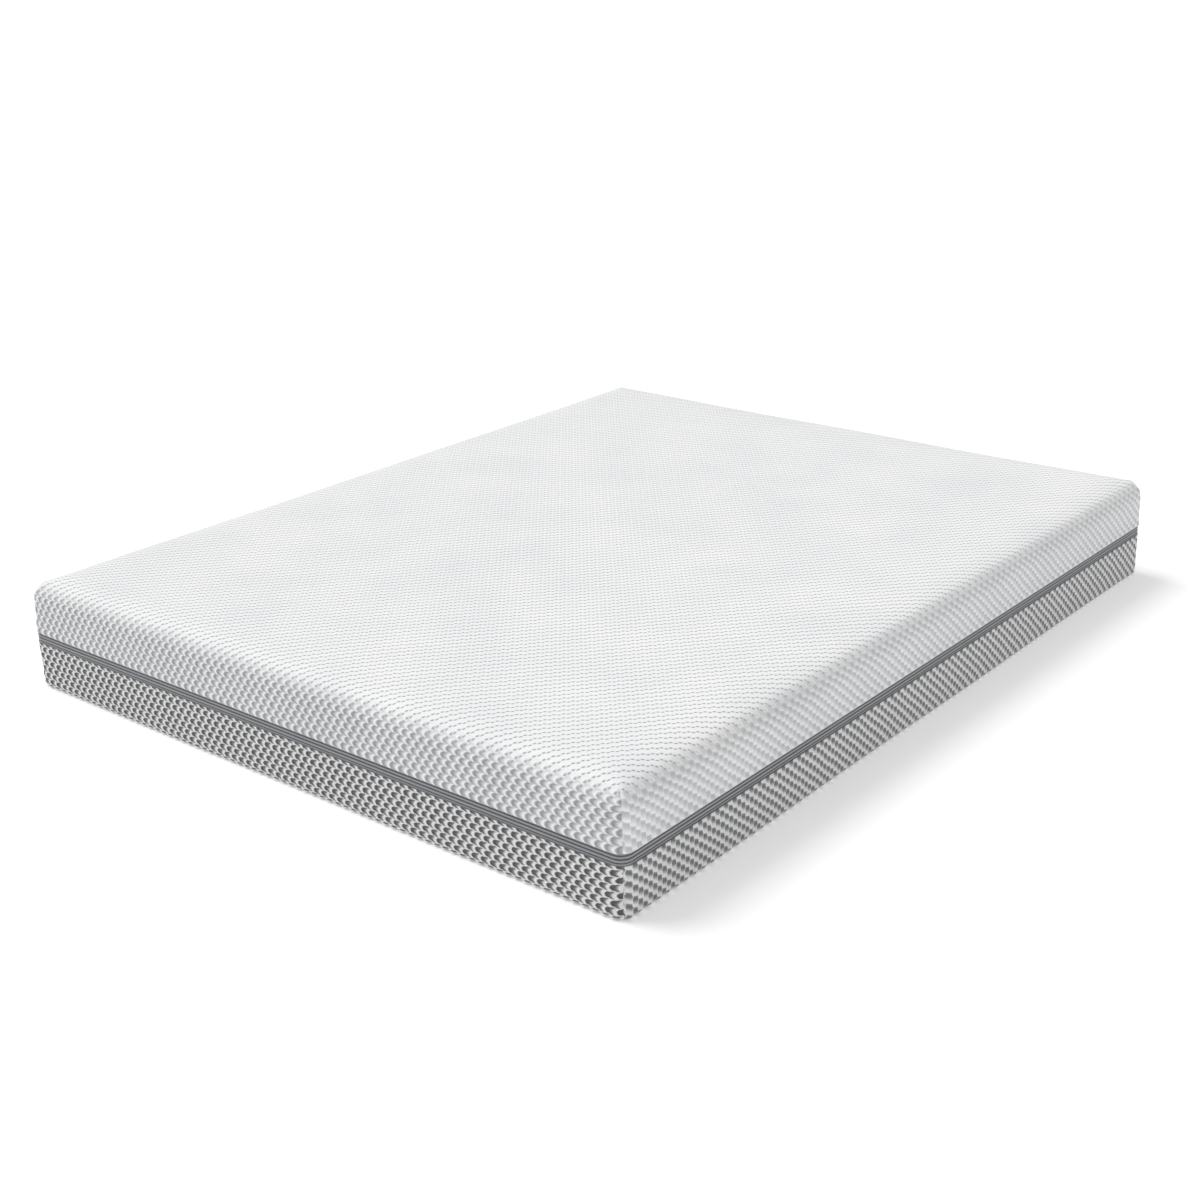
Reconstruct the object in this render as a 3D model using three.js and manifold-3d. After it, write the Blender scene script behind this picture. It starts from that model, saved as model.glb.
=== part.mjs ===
// A memory foam mattress in a two-part zip-off cover, lying flat on its underside.
// Millimetres. X runs across the width, Y along the length, Z up. The origin is on the underside, in the middle.

import * as THREE from 'three';
import { mergeVertices } from 'three/addons/utils/BufferGeometryUtils.js';
import Module from 'manifold-3d';

const wasm = await Module();
wasm.setup();

// ---------------------------------------------------------------- driving dimensions

const width = 1600;
const length = 2000;
const height = 240;
const cornerRadius = 28; // upright corners, seen from above
const topEdgeRadius = 48; // soft edge round the sleeping surface
const bottomEdgeRadius = 12; // edge turned under at the floor

const coverThickness = 4; // double knit with its fine fibre filling
const basePanelThickness = 4;
const bottomCoverTop = 103; // height of the lower cover's hem
const topCoverHem = 126; // height of the upper cover's hem

const tapeThickness = 1.2;
const tapeLap = 10; // how far each tape runs up behind the hem it is sewn to
const coilThickness = 3;
const coilHeight = 3;
const closingGap = 1.2; // between the two rows of coil

const sliderLength = 14;
const sliderHeight = 12;
const sliderPlate = 1.1;
const sliderWeb = 0.6; // the divider that runs in the closing gap
const loopSpan = 8; // the slider's loop, along the zip
const loopHeight = 2;
const loopBar = 0.9;
const loopClearance = 1.9; // room under the loop for the pull's crossbar
const pullLength = 30;
const pullHeight = 9;
const pullThickness = 1.2;
const pullCrossbar = 1.1;

const zipJoinX = 560; // where the zip starts and ends, on the far short side
const zipJoinGap = 16;

const linerThickness = 1;
const linerMouth = 160; // width of the liner's turned-under flange
const memoryFoamThickness = 50;
const transitionFoamThickness = 40;
const slotWidth = 6;
const slotDepth = 32;
const slotsPerZone = [3, 6, 3, 4, 3, 6, 3]; // seven zones from foot to head

const labelWidth = 45;
const labelDrop = 60;
const labelThickness = 0.5;
const labelX = -600;

const gap = 0.3; // between pieces that touch, are sewn or are glued
const runningClearance = 0.6; // between the slider and the liner behind it
const edgeEase = 4; // how much tighter the liner's edges are than the cover's inside

const cornerSteps = 6;
const edgeSteps = 6;
const smallestRadius = 4;

// ---------------------------------------------------------------- sizes that follow

const closingLine = (bottomCoverTop + topCoverHem) / 2;
const tapeInset = coverThickness + gap;
const coilInset = tapeInset + tapeThickness + gap;
const sliderBackInset = coilInset + coilThickness + gap;
const linerInset = sliderBackInset + sliderPlate + runningClearance;
const sliderFrontInset = tapeInset - gap - sliderPlate;
const sliderX = zipJoinX - zipJoinGap / 2 - coilHeight - gap - sliderLength / 2;

// ---------------------------------------------------------------- rounded box forms

// A form is a rounded box: how far its walls stand in from the overall size, its two heights, its edge radii.
const coverOutside = {
  inset: 0,
  bottom: 0,
  top: height,
  bottomRadius: bottomEdgeRadius,
  topRadius: topEdgeRadius,
};

const coverInside = offsetForm(coverOutside, coverThickness);

const linerOutside = {
  inset: linerInset,
  bottom: Math.max(coverThickness, basePanelThickness) + gap,
  top: height - coverThickness - gap,
  bottomRadius: coverInside.bottomRadius - edgeEase,
  topRadius: coverInside.topRadius - edgeEase,
};

const linerInside = offsetForm(linerOutside, linerThickness);
const foamForm = offsetForm(linerInside, gap);

function offsetForm(form, distance) {
  return {
    inset: form.inset + distance,
    bottom: form.bottom + distance,
    top: form.top - distance,
    bottomRadius: form.bottomRadius - distance,
    topRadius: form.topRadius - distance,
  };
}

// How far a form's wall stands in at height z, where its edges curve over.
function insetAt(form, z) {
  const intoTop = Math.max(0, z - (form.top - form.topRadius));
  const intoBottom = Math.max(0, form.bottom + form.bottomRadius - z);
  const radius = intoTop > 0 ? form.topRadius : form.bottomRadius;
  const depth = Math.min(radius, Math.max(intoTop, intoBottom));
  return form.inset + radius - Math.sqrt(radius * radius - depth * depth);
}

// The heights at which a form needs a ring, between two heights.
function levels(form, from, to) {
  const heights = [from, to];
  for (let i = 0; i <= edgeSteps; i++) {
    const rise = Math.sin((Math.PI / 2) * (i / edgeSteps));
    heights.push(form.bottom + form.bottomRadius * (1 - rise));
    heights.push(form.top - form.topRadius * (1 - rise));
  }
  const inside = heights.filter((z) => z >= from && z <= to).sort((a, b) => a - b);
  return inside.filter((z, i) => i === 0 || z - inside[i - 1] > 0.01);
}

// A level ring of points round the mattress, anticlockwise seen from above.
function ring(inset, z) {
  const radius = Math.max(cornerRadius - inset, smallestRadius);
  const centreX = width / 2 - inset - radius;
  const centreY = length / 2 - inset - radius;
  const quadrants = [[1, 1], [-1, 1], [-1, -1], [1, -1]];
  return quadrants.flatMap(([sideX, sideY], quadrant) => {
    const points = [];
    for (let i = 0; i <= cornerSteps; i++) {
      const angle = (Math.PI / 2) * (quadrant + i / cornerSteps);
      const x = sideX * centreX + radius * Math.cos(angle);
      const y = sideY * centreY + radius * Math.sin(angle);
      points.push(new THREE.Vector3(x, y, z));
    }
    return points;
  });
}

function rings(form, from, to) {
  return levels(form, from, to).map((z) => ring(insetAt(form, z), z));
}

// A closed body through rings that rise on its outside and fall on its inside. With closed true the last
// ring joins the first, and otherwise each end ring is filled in.
function loft(ringList, closed) {
  const count = ringList[0].length;
  const positions = ringList.flat().flatMap((point) => point.toArray());
  const indices = [];
  const joins = closed ? ringList.length : ringList.length - 1;
  for (let level = 0; level < joins; level++) {
    const here = level * count;
    const next = ((level + 1) % ringList.length) * count;
    for (let i = 0; i < count; i++) {
      const j = (i + 1) % count;
      indices.push(here + i, here + j, next + j);
      indices.push(here + i, next + j, next + i);
    }
  }
  if (!closed) {
    const last = (ringList.length - 1) * count;
    const firstCentre = positions.length / 3;
    positions.push(0, 0, ringList[0][0].z);
    positions.push(0, 0, ringList.at(-1)[0].z);
    for (let i = 0; i < count; i++) {
      const j = (i + 1) % count;
      indices.push(firstCentre, j, i);
      indices.push(firstCentre + 1, last + i, last + j);
    }
  }
  const geometry = new THREE.BufferGeometry();
  geometry.setAttribute('position', new THREE.Float32BufferAttribute(positions, 3));
  geometry.setIndex(indices);
  geometry.computeVertexNormals();
  return geometry;
}

// ---------------------------------------------------------------- joins and cuts

function toSolid(geometry) {
  const bare = geometry.clone();
  bare.deleteAttribute('normal');
  bare.deleteAttribute('uv');
  const merged = mergeVertices(bare, 1e-4);
  return new wasm.Manifold(new wasm.Mesh({
    numProp: 3,
    vertProperties: new Float32Array(merged.attributes.position.array),
    triVerts: new Uint32Array(merged.index.array),
  }));
}

function toGeometry(solid) {
  const mesh = solid.getMesh();
  const geometry = new THREE.BufferGeometry();
  geometry.setAttribute('position', new THREE.BufferAttribute(mesh.vertProperties, 3));
  geometry.setIndex(new THREE.BufferAttribute(mesh.triVerts, 1));
  geometry.computeVertexNormals();
  return geometry;
}

function boxBetween(low, high) {
  const size = high.map((value, axis) => value - low[axis]);
  const geometry = new THREE.BoxGeometry(...size);
  geometry.translate(...low.map((value, axis) => value + size[axis] / 2));
  return geometry;
}

// A box on the far short side: along the side, in from the overall length, and up.
function rearBox(fromX, toX, outerInset, innerInset, fromZ, toZ) {
  return boxBetween([fromX, length / 2 - innerInset, fromZ], [toX, length / 2 - outerInset, toZ]);
}

function joined(geometries) {
  const solids = geometries.map(toSolid);
  return toGeometry(solids.reduce((whole, solid) => whole.add(solid)));
}

function cut(geometry, cutters) {
  const solids = cutters.map(toSolid);
  return toGeometry(solids.reduce((rest, solid) => rest.subtract(solid), toSolid(geometry)));
}

// ---------------------------------------------------------------- the cover

// The upper half is a hood: the sleeping surface and the upper side band in one knitted skin, open below.
function topCover() {
  const inner = rings(coverInside, topCoverHem, coverInside.top).reverse();
  const outer = rings(coverOutside, topCoverHem, coverOutside.top);
  return loft([...inner, ...outer], false);
}

// The lower side band turns under at the floor and ends where the base panel is sewn in.
function bottomCover() {
  const outer = rings(coverOutside, coverOutside.bottom, bottomCoverTop);
  const inner = rings(coverInside, coverInside.bottom, bottomCoverTop).reverse();
  return loft([...outer, ...inner], true);
}

function basePanel() {
  const inset = bottomEdgeRadius + gap;
  return loft([ring(inset, 0), ring(inset, basePanelThickness)], false);
}

function careLabel() {
  const top = bottomCoverTop - gap;
  const outer = -gap - labelThickness;
  return rearBox(labelX, labelX + labelWidth, outer, -gap, top - labelDrop, top);
}

// ---------------------------------------------------------------- the zip

// A band that runs round the mattress, with the break where the zip starts and ends.
function zipBand(inset, thickness, from, to) {
  const outer = [ring(inset, from), ring(inset, to)];
  const inner = [ring(inset + thickness, to), ring(inset + thickness, from)];
  const half = zipJoinGap / 2;
  const margin = 1;
  const breakBox = rearBox(
    zipJoinX - half, zipJoinX + half, inset - margin, inset + thickness + margin, from - margin, to + margin,
  );
  return cut(loft([...outer, ...inner], true), [breakBox]);
}

function upperZipTape() {
  return zipBand(tapeInset, tapeThickness, closingLine + closingGap / 2, topCoverHem + tapeLap);
}

function lowerZipTape() {
  return zipBand(tapeInset, tapeThickness, bottomCoverTop - tapeLap, closingLine - closingGap / 2);
}

function upperZipCoil() {
  const bottom = closingLine + closingGap / 2;
  return zipBand(coilInset, coilThickness, bottom, bottom + coilHeight);
}

function lowerZipCoil() {
  const top = closingLine - closingGap / 2;
  return zipBand(coilInset, coilThickness, top - coilHeight, top);
}

// A stop is a small block crimped on the tape's face beside the last turns of the coil.
function endStop(side) {
  const edge = closingLine + (side * closingGap) / 2;
  const far = edge + side * coilHeight;
  const endX = zipJoinX - zipJoinGap / 2;
  return rearBox(
    endX - coilHeight, endX, sliderFrontInset, tapeInset - gap, Math.min(edge, far), Math.max(edge, far),
  );
}

// The pin hangs from the upper tape's start and lies in the retainer box on the lower tape.
function pinSection() {
  const half = 0.8;
  const startX = zipJoinX + zipJoinGap / 2;
  return { half, fromX: startX - 5, toX: startX - gap, middle: tapeInset + tapeThickness / 2 };
}

function zipInsertPin() {
  const { half, fromX, toX, middle } = pinSection();
  return rearBox(fromX, toX, middle - half, middle + half, closingLine - half, topCoverHem);
}

function zipRetainerBox() {
  const { half, fromX, toX, middle } = pinSection();
  const wall = 0.8;
  const room = half + gap;
  const block = rearBox(
    fromX, toX, middle - room - wall, middle + room + wall, closingLine - room - wall, closingLine + half,
  );
  const pocket = rearBox(
    fromX - wall, toX + wall, middle - room, middle + room, closingLine - room, closingLine + half + wall,
  );
  return cut(block, [pocket]);
}

// The slider: a plate in front of the tapes and one behind the coils, held together by the thin divider
// at the leading end, with a loop on its face for the pull.
function zipSlider() {
  const fromX = sliderX - sliderLength / 2;
  const toX = sliderX + sliderLength / 2;
  const low = closingLine - sliderHeight / 2;
  const high = closingLine + sliderHeight / 2;
  const front = rearBox(fromX, toX, sliderFrontInset, sliderFrontInset + sliderPlate, low, high);
  const back = rearBox(fromX, toX, sliderBackInset, sliderBackInset + sliderPlate, low, high);
  const divider = rearBox(
    toX - 3, toX, sliderFrontInset + sliderPlate / 2, sliderBackInset + sliderPlate / 2,
    closingLine - sliderWeb / 2, closingLine + sliderWeb / 2,
  );
  const loopFrom = sliderX - loopSpan / 2;
  const loopTo = sliderX + loopSpan / 2;
  const loopLow = closingLine - loopHeight / 2;
  const loopHigh = closingLine + loopHeight / 2;
  const barInset = sliderFrontInset - loopClearance;
  const bar = rearBox(loopFrom, loopTo, barInset - loopBar, barInset, loopLow, loopHigh);
  const postRoot = sliderFrontInset + sliderPlate / 2;
  const firstPost = rearBox(loopFrom, loopFrom + loopBar, barInset - loopBar / 2, postRoot, loopLow, loopHigh);
  const lastPost = rearBox(loopTo - loopBar, loopTo, barInset - loopBar / 2, postRoot, loopLow, loopHigh);
  return joined([front, back, divider, bar, firstPost, lastPost]);
}

// Where the pull's crossbar turns, under the slider's loop.
const pullAxis = new THREE.Vector3(
  sliderX,
  length / 2 - (sliderFrontInset - loopClearance / 2),
  closingLine,
);

// The pull is drawn about its own crossbar, lying back along the zip, with a hole round the loop.
function zipPull() {
  const outline = new THREE.Shape();
  const half = pullHeight / 2;
  const tailHalf = half * 0.7;
  outline.moveTo(pullCrossbar / 2, -half);
  outline.lineTo(pullCrossbar / 2, half);
  outline.lineTo(-pullLength / 2, half);
  outline.lineTo(-pullLength + tailHalf, tailHalf);
  outline.absarc(-pullLength + tailHalf, 0, tailHalf, Math.PI / 2, (3 * Math.PI) / 2, false);
  outline.lineTo(-pullLength / 2, -half);
  outline.closePath();
  const holeHalf = loopHeight / 2 + 0.5;
  const holeEnd = -(loopSpan / 2 + 2);
  const hole = new THREE.Path();
  hole.moveTo(-pullCrossbar / 2, -holeHalf);
  hole.lineTo(holeEnd, -holeHalf);
  hole.lineTo(holeEnd, holeHalf);
  hole.lineTo(-pullCrossbar / 2, holeHalf);
  hole.closePath();
  outline.holes.push(hole);
  const geometry = new THREE.ExtrudeGeometry(outline, {
    depth: pullThickness,
    bevelEnabled: false,
    curveSegments: 8,
  });
  geometry.translate(0, 0, -pullThickness / 2);
  geometry.rotateX(Math.PI / 2);
  return geometry;
}

// ---------------------------------------------------------------- the inside

// The liner is a stocking over the foam, turned under with an open mouth below.
function innerLiner() {
  const inner = rings(linerInside, linerInside.bottom, linerInside.top).reverse();
  const outer = rings(linerOutside, linerOutside.bottom, linerOutside.top);
  const mouth = [ring(linerMouth, linerInside.bottom), ring(linerMouth, linerOutside.bottom)];
  return loft([...inner, ...mouth, ...outer], false);
}

const memoryFoamBottom = foamForm.top - memoryFoamThickness;
const transitionFoamTop = memoryFoamBottom - gap;
const transitionFoamBottom = transitionFoamTop - transitionFoamThickness;
const supportCoreTop = transitionFoamBottom - gap;

function foamLayer(from, to) {
  return loft(rings(foamForm, from, to), false);
}

// The core's slots run across its underside, closer together in the shoulder and hip zones.
function supportCore() {
  const foamLength = length - 2 * foamForm.inset;
  const zoneLength = foamLength / slotsPerZone.length;
  const margin = 1;
  const cutters = slotsPerZone.flatMap((slots, zone) => {
    const spacing = zoneLength / slots;
    return Array.from({ length: slots }, (_, i) => {
      const y = -foamLength / 2 + zone * zoneLength + (i + 0.5) * spacing;
      const low = [-width / 2, y - slotWidth / 2, foamForm.bottom - margin];
      return boxBetween(low, [width / 2, y + slotWidth / 2, foamForm.bottom + slotDepth]);
    });
  });
  return cut(foamLayer(foamForm.bottom, supportCoreTop), cutters);
}

// ---------------------------------------------------------------- the assembly

const mattress = new THREE.Group();

function addPiece(parent, name, geometry, color, roughness, metalness = 0) {
  const material = new THREE.MeshStandardMaterial({ color, roughness, metalness });
  const mesh = new THREE.Mesh(geometry, material);
  mesh.name = name;
  parent.add(mesh);
  return mesh;
}

const cover = new THREE.Group();
addPiece(cover, 'top_cover', topCover(), 0xf1f1ef, 0.9);
addPiece(cover, 'bottom_cover', bottomCover(), 0x8f9195, 0.9);
addPiece(cover, 'base_panel', basePanel(), 0x6f7276, 0.85);
addPiece(cover, 'care_label', careLabel(), 0xf4f4f2, 0.7);
mattress.add(cover);

const zip = new THREE.Group();
addPiece(zip, 'upper_zip_tape', upperZipTape(), 0x85878b, 0.8);
addPiece(zip, 'lower_zip_tape', lowerZipTape(), 0x85878b, 0.8);
addPiece(zip, 'upper_zip_coil', upperZipCoil(), 0x6b6d71, 0.5);
addPiece(zip, 'lower_zip_coil', lowerZipCoil(), 0x6b6d71, 0.5);
addPiece(zip, 'upper_end_stop', endStop(1), 0x9a9ca0, 0.35, 1);
addPiece(zip, 'lower_end_stop', endStop(-1), 0x9a9ca0, 0.35, 1);
addPiece(zip, 'zip_insert_pin', zipInsertPin(), 0x6b6d71, 0.5);
addPiece(zip, 'zip_retainer_box', zipRetainerBox(), 0x6b6d71, 0.5);
addPiece(zip, 'zip_slider', zipSlider(), 0x9a9ca0, 0.35, 1);
const pull = addPiece(zip, 'zip_pull', zipPull(), 0x9a9ca0, 0.35, 1);
pull.position.copy(pullAxis);
mattress.add(zip);

const core = new THREE.Group();
addPiece(core, 'inner_liner', innerLiner(), 0xf3f1ea, 0.9);
addPiece(core, 'memory_foam', foamLayer(memoryFoamBottom, foamForm.top), 0xf2ead2, 0.95);
addPiece(core, 'transition_foam', foamLayer(transitionFoamBottom, transitionFoamTop), 0xdfe6ea, 0.95);
addPiece(core, 'support_core', supportCore(), 0xf6f4ee, 0.95);
mattress.add(core);

export default mattress;
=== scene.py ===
# %% [markdown]
# # A memory foam mattress in a zip-off knitted cover
#
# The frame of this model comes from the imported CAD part: a lower cover, a foam core that lifts out of
# it, an upper cover that lifts off the core, and a zip slider with its pull. Each of those is a body,
# and every piece made below rides on one of them. Lengths are in metres, Z is up, and the foot end faces
# -Y.

# %% Load the frame
import math

import bmesh
import bpy
import numpy as np
from mathutils import Matrix, Vector


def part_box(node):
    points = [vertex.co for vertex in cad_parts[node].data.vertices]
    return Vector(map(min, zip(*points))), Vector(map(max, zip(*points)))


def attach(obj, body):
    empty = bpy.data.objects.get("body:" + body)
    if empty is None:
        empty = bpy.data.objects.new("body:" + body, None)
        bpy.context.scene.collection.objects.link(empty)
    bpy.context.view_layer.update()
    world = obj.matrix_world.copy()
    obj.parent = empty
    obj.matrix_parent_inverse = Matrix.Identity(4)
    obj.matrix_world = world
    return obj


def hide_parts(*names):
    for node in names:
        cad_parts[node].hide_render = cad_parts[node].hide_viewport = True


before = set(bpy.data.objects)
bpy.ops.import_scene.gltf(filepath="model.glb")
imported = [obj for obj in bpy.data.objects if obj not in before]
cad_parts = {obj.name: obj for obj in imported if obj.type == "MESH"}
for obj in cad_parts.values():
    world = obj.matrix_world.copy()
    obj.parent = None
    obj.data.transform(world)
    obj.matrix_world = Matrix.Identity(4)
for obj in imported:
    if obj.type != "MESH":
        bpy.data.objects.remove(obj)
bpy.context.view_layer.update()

MM = 0.001
hood_low, hood_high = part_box("top_cover")
width = hood_high.x - hood_low.x
length = hood_high.y - hood_low.y
height = hood_high.z
upper_hem = hood_low.z
lower_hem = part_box("bottom_cover")[1].z
closing_line = (lower_hem + upper_hem) / 2
print("mattress", round(width, 3), round(length, 3), round(height, 3))
print("zip line at", round(closing_line, 4))

# %% [markdown]
# ## Camera
#
# A camera is placed by its own three directions: where it looks, and what is right and up for it. This
# one stands off the corner between the foot end and the long right side, a little above head height when
# kneeling, and looks down at the bed. Depth of field stays off, so the whole mattress is sharp.

# %% Place the camera
camera_turn = math.radians(39.584)
camera_dip = math.radians(21.424)
camera_roll = math.radians(-1.324)
looking = Vector((
    -math.sin(camera_turn) * math.cos(camera_dip),
    math.cos(camera_turn) * math.cos(camera_dip),
    -math.sin(camera_dip),
))
level_right = looking.cross(Vector((0, 0, 1))).normalized()
level_up = level_right.cross(looking)
right = level_right * math.cos(camera_roll) + level_up * math.sin(camera_roll)
up = level_up * math.cos(camera_roll) - level_right * math.sin(camera_roll)

bpy.ops.object.camera_add()
camera = bpy.context.object
camera.name = "camera"
camera_place = Matrix.Translation((2.3346, -2.9003, 1.5230))
camera_facing = Matrix((right, up, -looking)).transposed().to_4x4()
camera.matrix_world = camera_place @ camera_facing
camera.data.sensor_width = 36
camera.data.lens = 53.0
camera.data.clip_end = 500
bpy.context.scene.camera = camera
print("camera looks along", [round(part, 3) for part in looking])

# %% [markdown]
# ## Materials: two small helpers
#
# Colours are easiest to choose as the hex values of a paint chart, but shaders work in linear light, so
# one function converts them. A second one adds a node with its settings and links its sockets. Every
# material below is built from those two.

# %% Colour and node helpers
def colour(hex_text):
    parts = [int(hex_text[i:i + 2], 16) / 255 for i in (0, 2, 4)]
    linear = [part / 12.92 if part <= 0.04045 else ((part + 0.055) / 1.055) ** 2.4 for part in parts]
    return (*linear, 1.0)


def node(tree, kind, sockets=None, **settings):
    new = tree.nodes.new(kind)
    for name, value in settings.items():
        setattr(new, name, value)
    for socket, value in (sockets or {}).items():
        if isinstance(value, bpy.types.NodeSocket):
            tree.links.new(value, new.inputs[socket])
        else:
            new.inputs[socket].default_value = value
    return new


def new_material(name, roughness, sheen=0.0, metallic=0.0):
    material = bpy.data.materials.new(name)
    material.use_nodes = True
    shader = material.node_tree.nodes["Principled BSDF"]
    shader.inputs["Roughness"].default_value = roughness
    shader.inputs["Metallic"].default_value = metallic
    shader.inputs["Sheen Weight"].default_value = sheen
    shader.inputs["Sheen Roughness"].default_value = 0.5
    return material, material.node_tree, shader


def ramp_stops(ramp, stops, smooth="LINEAR"):
    ramp.color_ramp.interpolation = smooth
    points = ramp.color_ramp.elements
    while len(points) < len(stops):
        points.new(0.5)
    for point, (place, shade) in zip(points, stops):
        point.position = place
        point.color = shade if isinstance(shade, tuple) else (shade, shade, shade, 1)
    return ramp.outputs["Color"]


# %% [markdown]
# ## Studio
#
# The floor is a very large painted sheet so that it fills the view to its edge, and it glows a little,
# as a lit studio sweep does. A white world lights everything all round; it gives half its light, but
# looks fully white where the camera sees it past the end of the floor. A broad key light high on the
# left rakes across the foot end, draws the relief of the knit and drops a short shadow on the right, and
# a weak one opens the long right side. Both are sun lamps with a wide angle, so they are soft and light
# the whole floor alike. The Standard view keeps whites white.

# %% Floor, world and lights
scene = bpy.context.scene
scene.view_settings.view_transform = "Standard"

bpy.ops.object.select_all(action="DESELECT")
bpy.ops.mesh.primitive_plane_add(size=160)
floor = bpy.context.object
floor.name = "studio_floor"
bpy.ops.object.transform_apply(location=True, rotation=True, scale=True)
floor_paint, tree, shader = new_material("matt_floor_paint", 0.9)
blotch = node(tree, "ShaderNodeTexNoise", {"Scale": 0.6, "Detail": 3.0})
shade = node(tree, "ShaderNodeValToRGB", {"Fac": blotch.outputs["Fac"]})
paint_shade = ramp_stops(shade, [(0.3, colour("F6F6F6")), (0.7, colour("FAFAFA"))])
tree.links.new(paint_shade, shader.inputs["Base Color"])
shader.inputs["Emission Color"].default_value = (1, 1, 1, 1)
shader.inputs["Emission Strength"].default_value = 0.25
floor.data.materials.append(floor_paint)

world = bpy.data.worlds.new("white_studio")
world.use_nodes = True
sky = world.node_tree
background = sky.nodes["Background"]
background.inputs["Color"].default_value = (1, 1, 1, 1)
seen = node(sky, "ShaderNodeLightPath").outputs["Is Camera Ray"]
strength = node(sky, "ShaderNodeMapRange", {"Value": seen, "To Min": 0.5, "To Max": 1.0})
sky.links.new(strength.outputs["Result"], background.inputs["Strength"])
scene.world = world

soft_lights = {
    "key_light": ((-0.55, -0.14, 0.8), math.radians(38), 1.88),
    "side_light": ((0.9, -0.25, 0.2), math.radians(80), 0.34),
}
for name, (towards, softness, strength) in soft_lights.items():
    bpy.ops.object.light_add(type="SUN", location=towards)
    lamp = bpy.context.object
    lamp.name = name
    lamp.rotation_euler = (-Vector(towards)).to_track_quat("-Z", "Y").to_euler()
    lamp.data.angle = softness
    lamp.data.energy = strength
print("studio has", len(soft_lights), "soft lights")

# %% [markdown]
# ## The knit's repeat
#
# The cover is a double knit with a raised figure: crescents in rows, each row shifted by half a
# crescent, so that the crests join into chains. The repeat is 21 mm across the bed and 25 mm along it.
# The cloth runs over the edges and down the sides, so a place on it is best given as two lengths
# measured along the cloth: `across` from the middle line, and `along` from the middle of the length. A
# function finds them for any point.

# %% Lengths along the cloth
repeat_across = 21 * MM
repeat_along = 25 * MM
row_height = repeat_along / 2
corner_radius = 28 * MM
rim_radius = 48 * MM
end_stretch = 1.15
half_size = np.array([width / 2, length / 2])
corner_middle = half_size - corner_radius
flat_half = half_size - rim_radius


def faces_long_side(points):
    over = np.abs(points[:, :2]) - half_size
    return over[:, 0] > over[:, 1]


def from_wall(points):
    over = np.abs(points[:, :2]) - corner_middle
    outside = np.linalg.norm(np.maximum(over, 0), axis=1)
    return corner_radius - outside - np.minimum(over.max(axis=1), 0)


def cloth_place(points, on_long_side):
    out = np.abs(points[:, :2])
    into_rim = np.maximum(rim_radius - from_wall(points), 0)
    above = points[:, 2] - (height - rim_radius)
    down = rim_radius * np.arctan2(into_rim, np.maximum(above, 1e-9)) + np.maximum(-above, 0)
    down = np.where(into_rim > 1e-6, down, 0) / np.where(on_long_side, 1, end_stretch)
    over = np.maximum(out - corner_middle, 0)
    turn = np.arctan2(over[:, 1], over[:, 0])
    turn = np.where(on_long_side, turn, math.pi / 2 - turn) * np.hypot(over[:, 0], over[:, 1])
    beyond = np.minimum(out, flat_half)
    before_corner = np.minimum(out, corner_middle)
    long_side = np.stack([beyond[:, 0] + down, before_corner[:, 1] + turn], 1)
    short_side = np.stack([before_corner[:, 0] + turn, beyond[:, 1] + down], 1)
    return np.where(on_long_side[:, None], long_side, short_side) * np.sign(points[:, :2])


print("rows of", round(row_height * end_stretch / MM, 1), "mm on the foot end")

# %% [markdown]
# The figure itself is one short rule. In a row, the crest bows to one side and leans over at the top;
# the cloth falls quickly behind the crest and climbs slowly to the next one. Down the long sides the
# cloth is pulled taut, so there the crests straighten until they join into slanting lines. The figure
# could be modelled once and repeated with an array, but it has to bend over the rim. So the rule is used
# twice: here in numbers, to raise the mesh, and again in the shader, to colour the yarns.

# %% The relief of the figure
crest_foot = -0.3
crest_bow = 1.27
crest_lean = 1.35
taut_bow = -0.2
taut_from = 12 * MM
taut_to = 58 * MM
relief_places = [0.0, 0.2, 0.3, 1.0]
relief_heights = [1.0, 0.1, 0.0, 1.0]
row_edge_start = 0.2
row_edge_lift = 0.55


def figure_height(place):
    past = np.abs(place) - flat_half
    over_edge = np.clip((past[:, 0] - taut_from) / (taut_to - taut_from), 0, 1)
    taut = over_edge * over_edge * (3 - 2 * over_edge) * (past[:, 0] > past[:, 1])
    bow = crest_bow + (taut_bow - crest_bow) * taut
    lean = crest_lean * (1 - taut)
    rows = place[:, 1] / row_height
    row = np.floor(rows)
    up_row = rows - row
    columns = place[:, 0] / repeat_across - row / 2
    behind = (columns + crest_foot + up_row * (bow - lean * up_row)) % 1
    hill = np.interp(behind, relief_places, relief_heights)
    from_row_edge = np.minimum(up_row, 1 - up_row)
    step = np.clip((row_edge_start - from_row_edge) / row_edge_start, 0, 1)
    return np.maximum(hill, row_edge_lift * step * step * (3 - 2 * step))


sample = np.array([[repeat_across * step / 8, row_height / 2] for step in range(8)])
print("relief across one repeat", [round(float(rise), 2) for rise in figure_height(sample)])

# %% [markdown]
# In the shader, each line of that rule becomes a node or two, and the place comes from the map called
# Knit, which holds the lengths along the cloth. A little noise pulls the place about by up to 2 mm, as
# no knit is quite even. The function hands back its in-between results too, because the two yarn colours
# need them.

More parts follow.
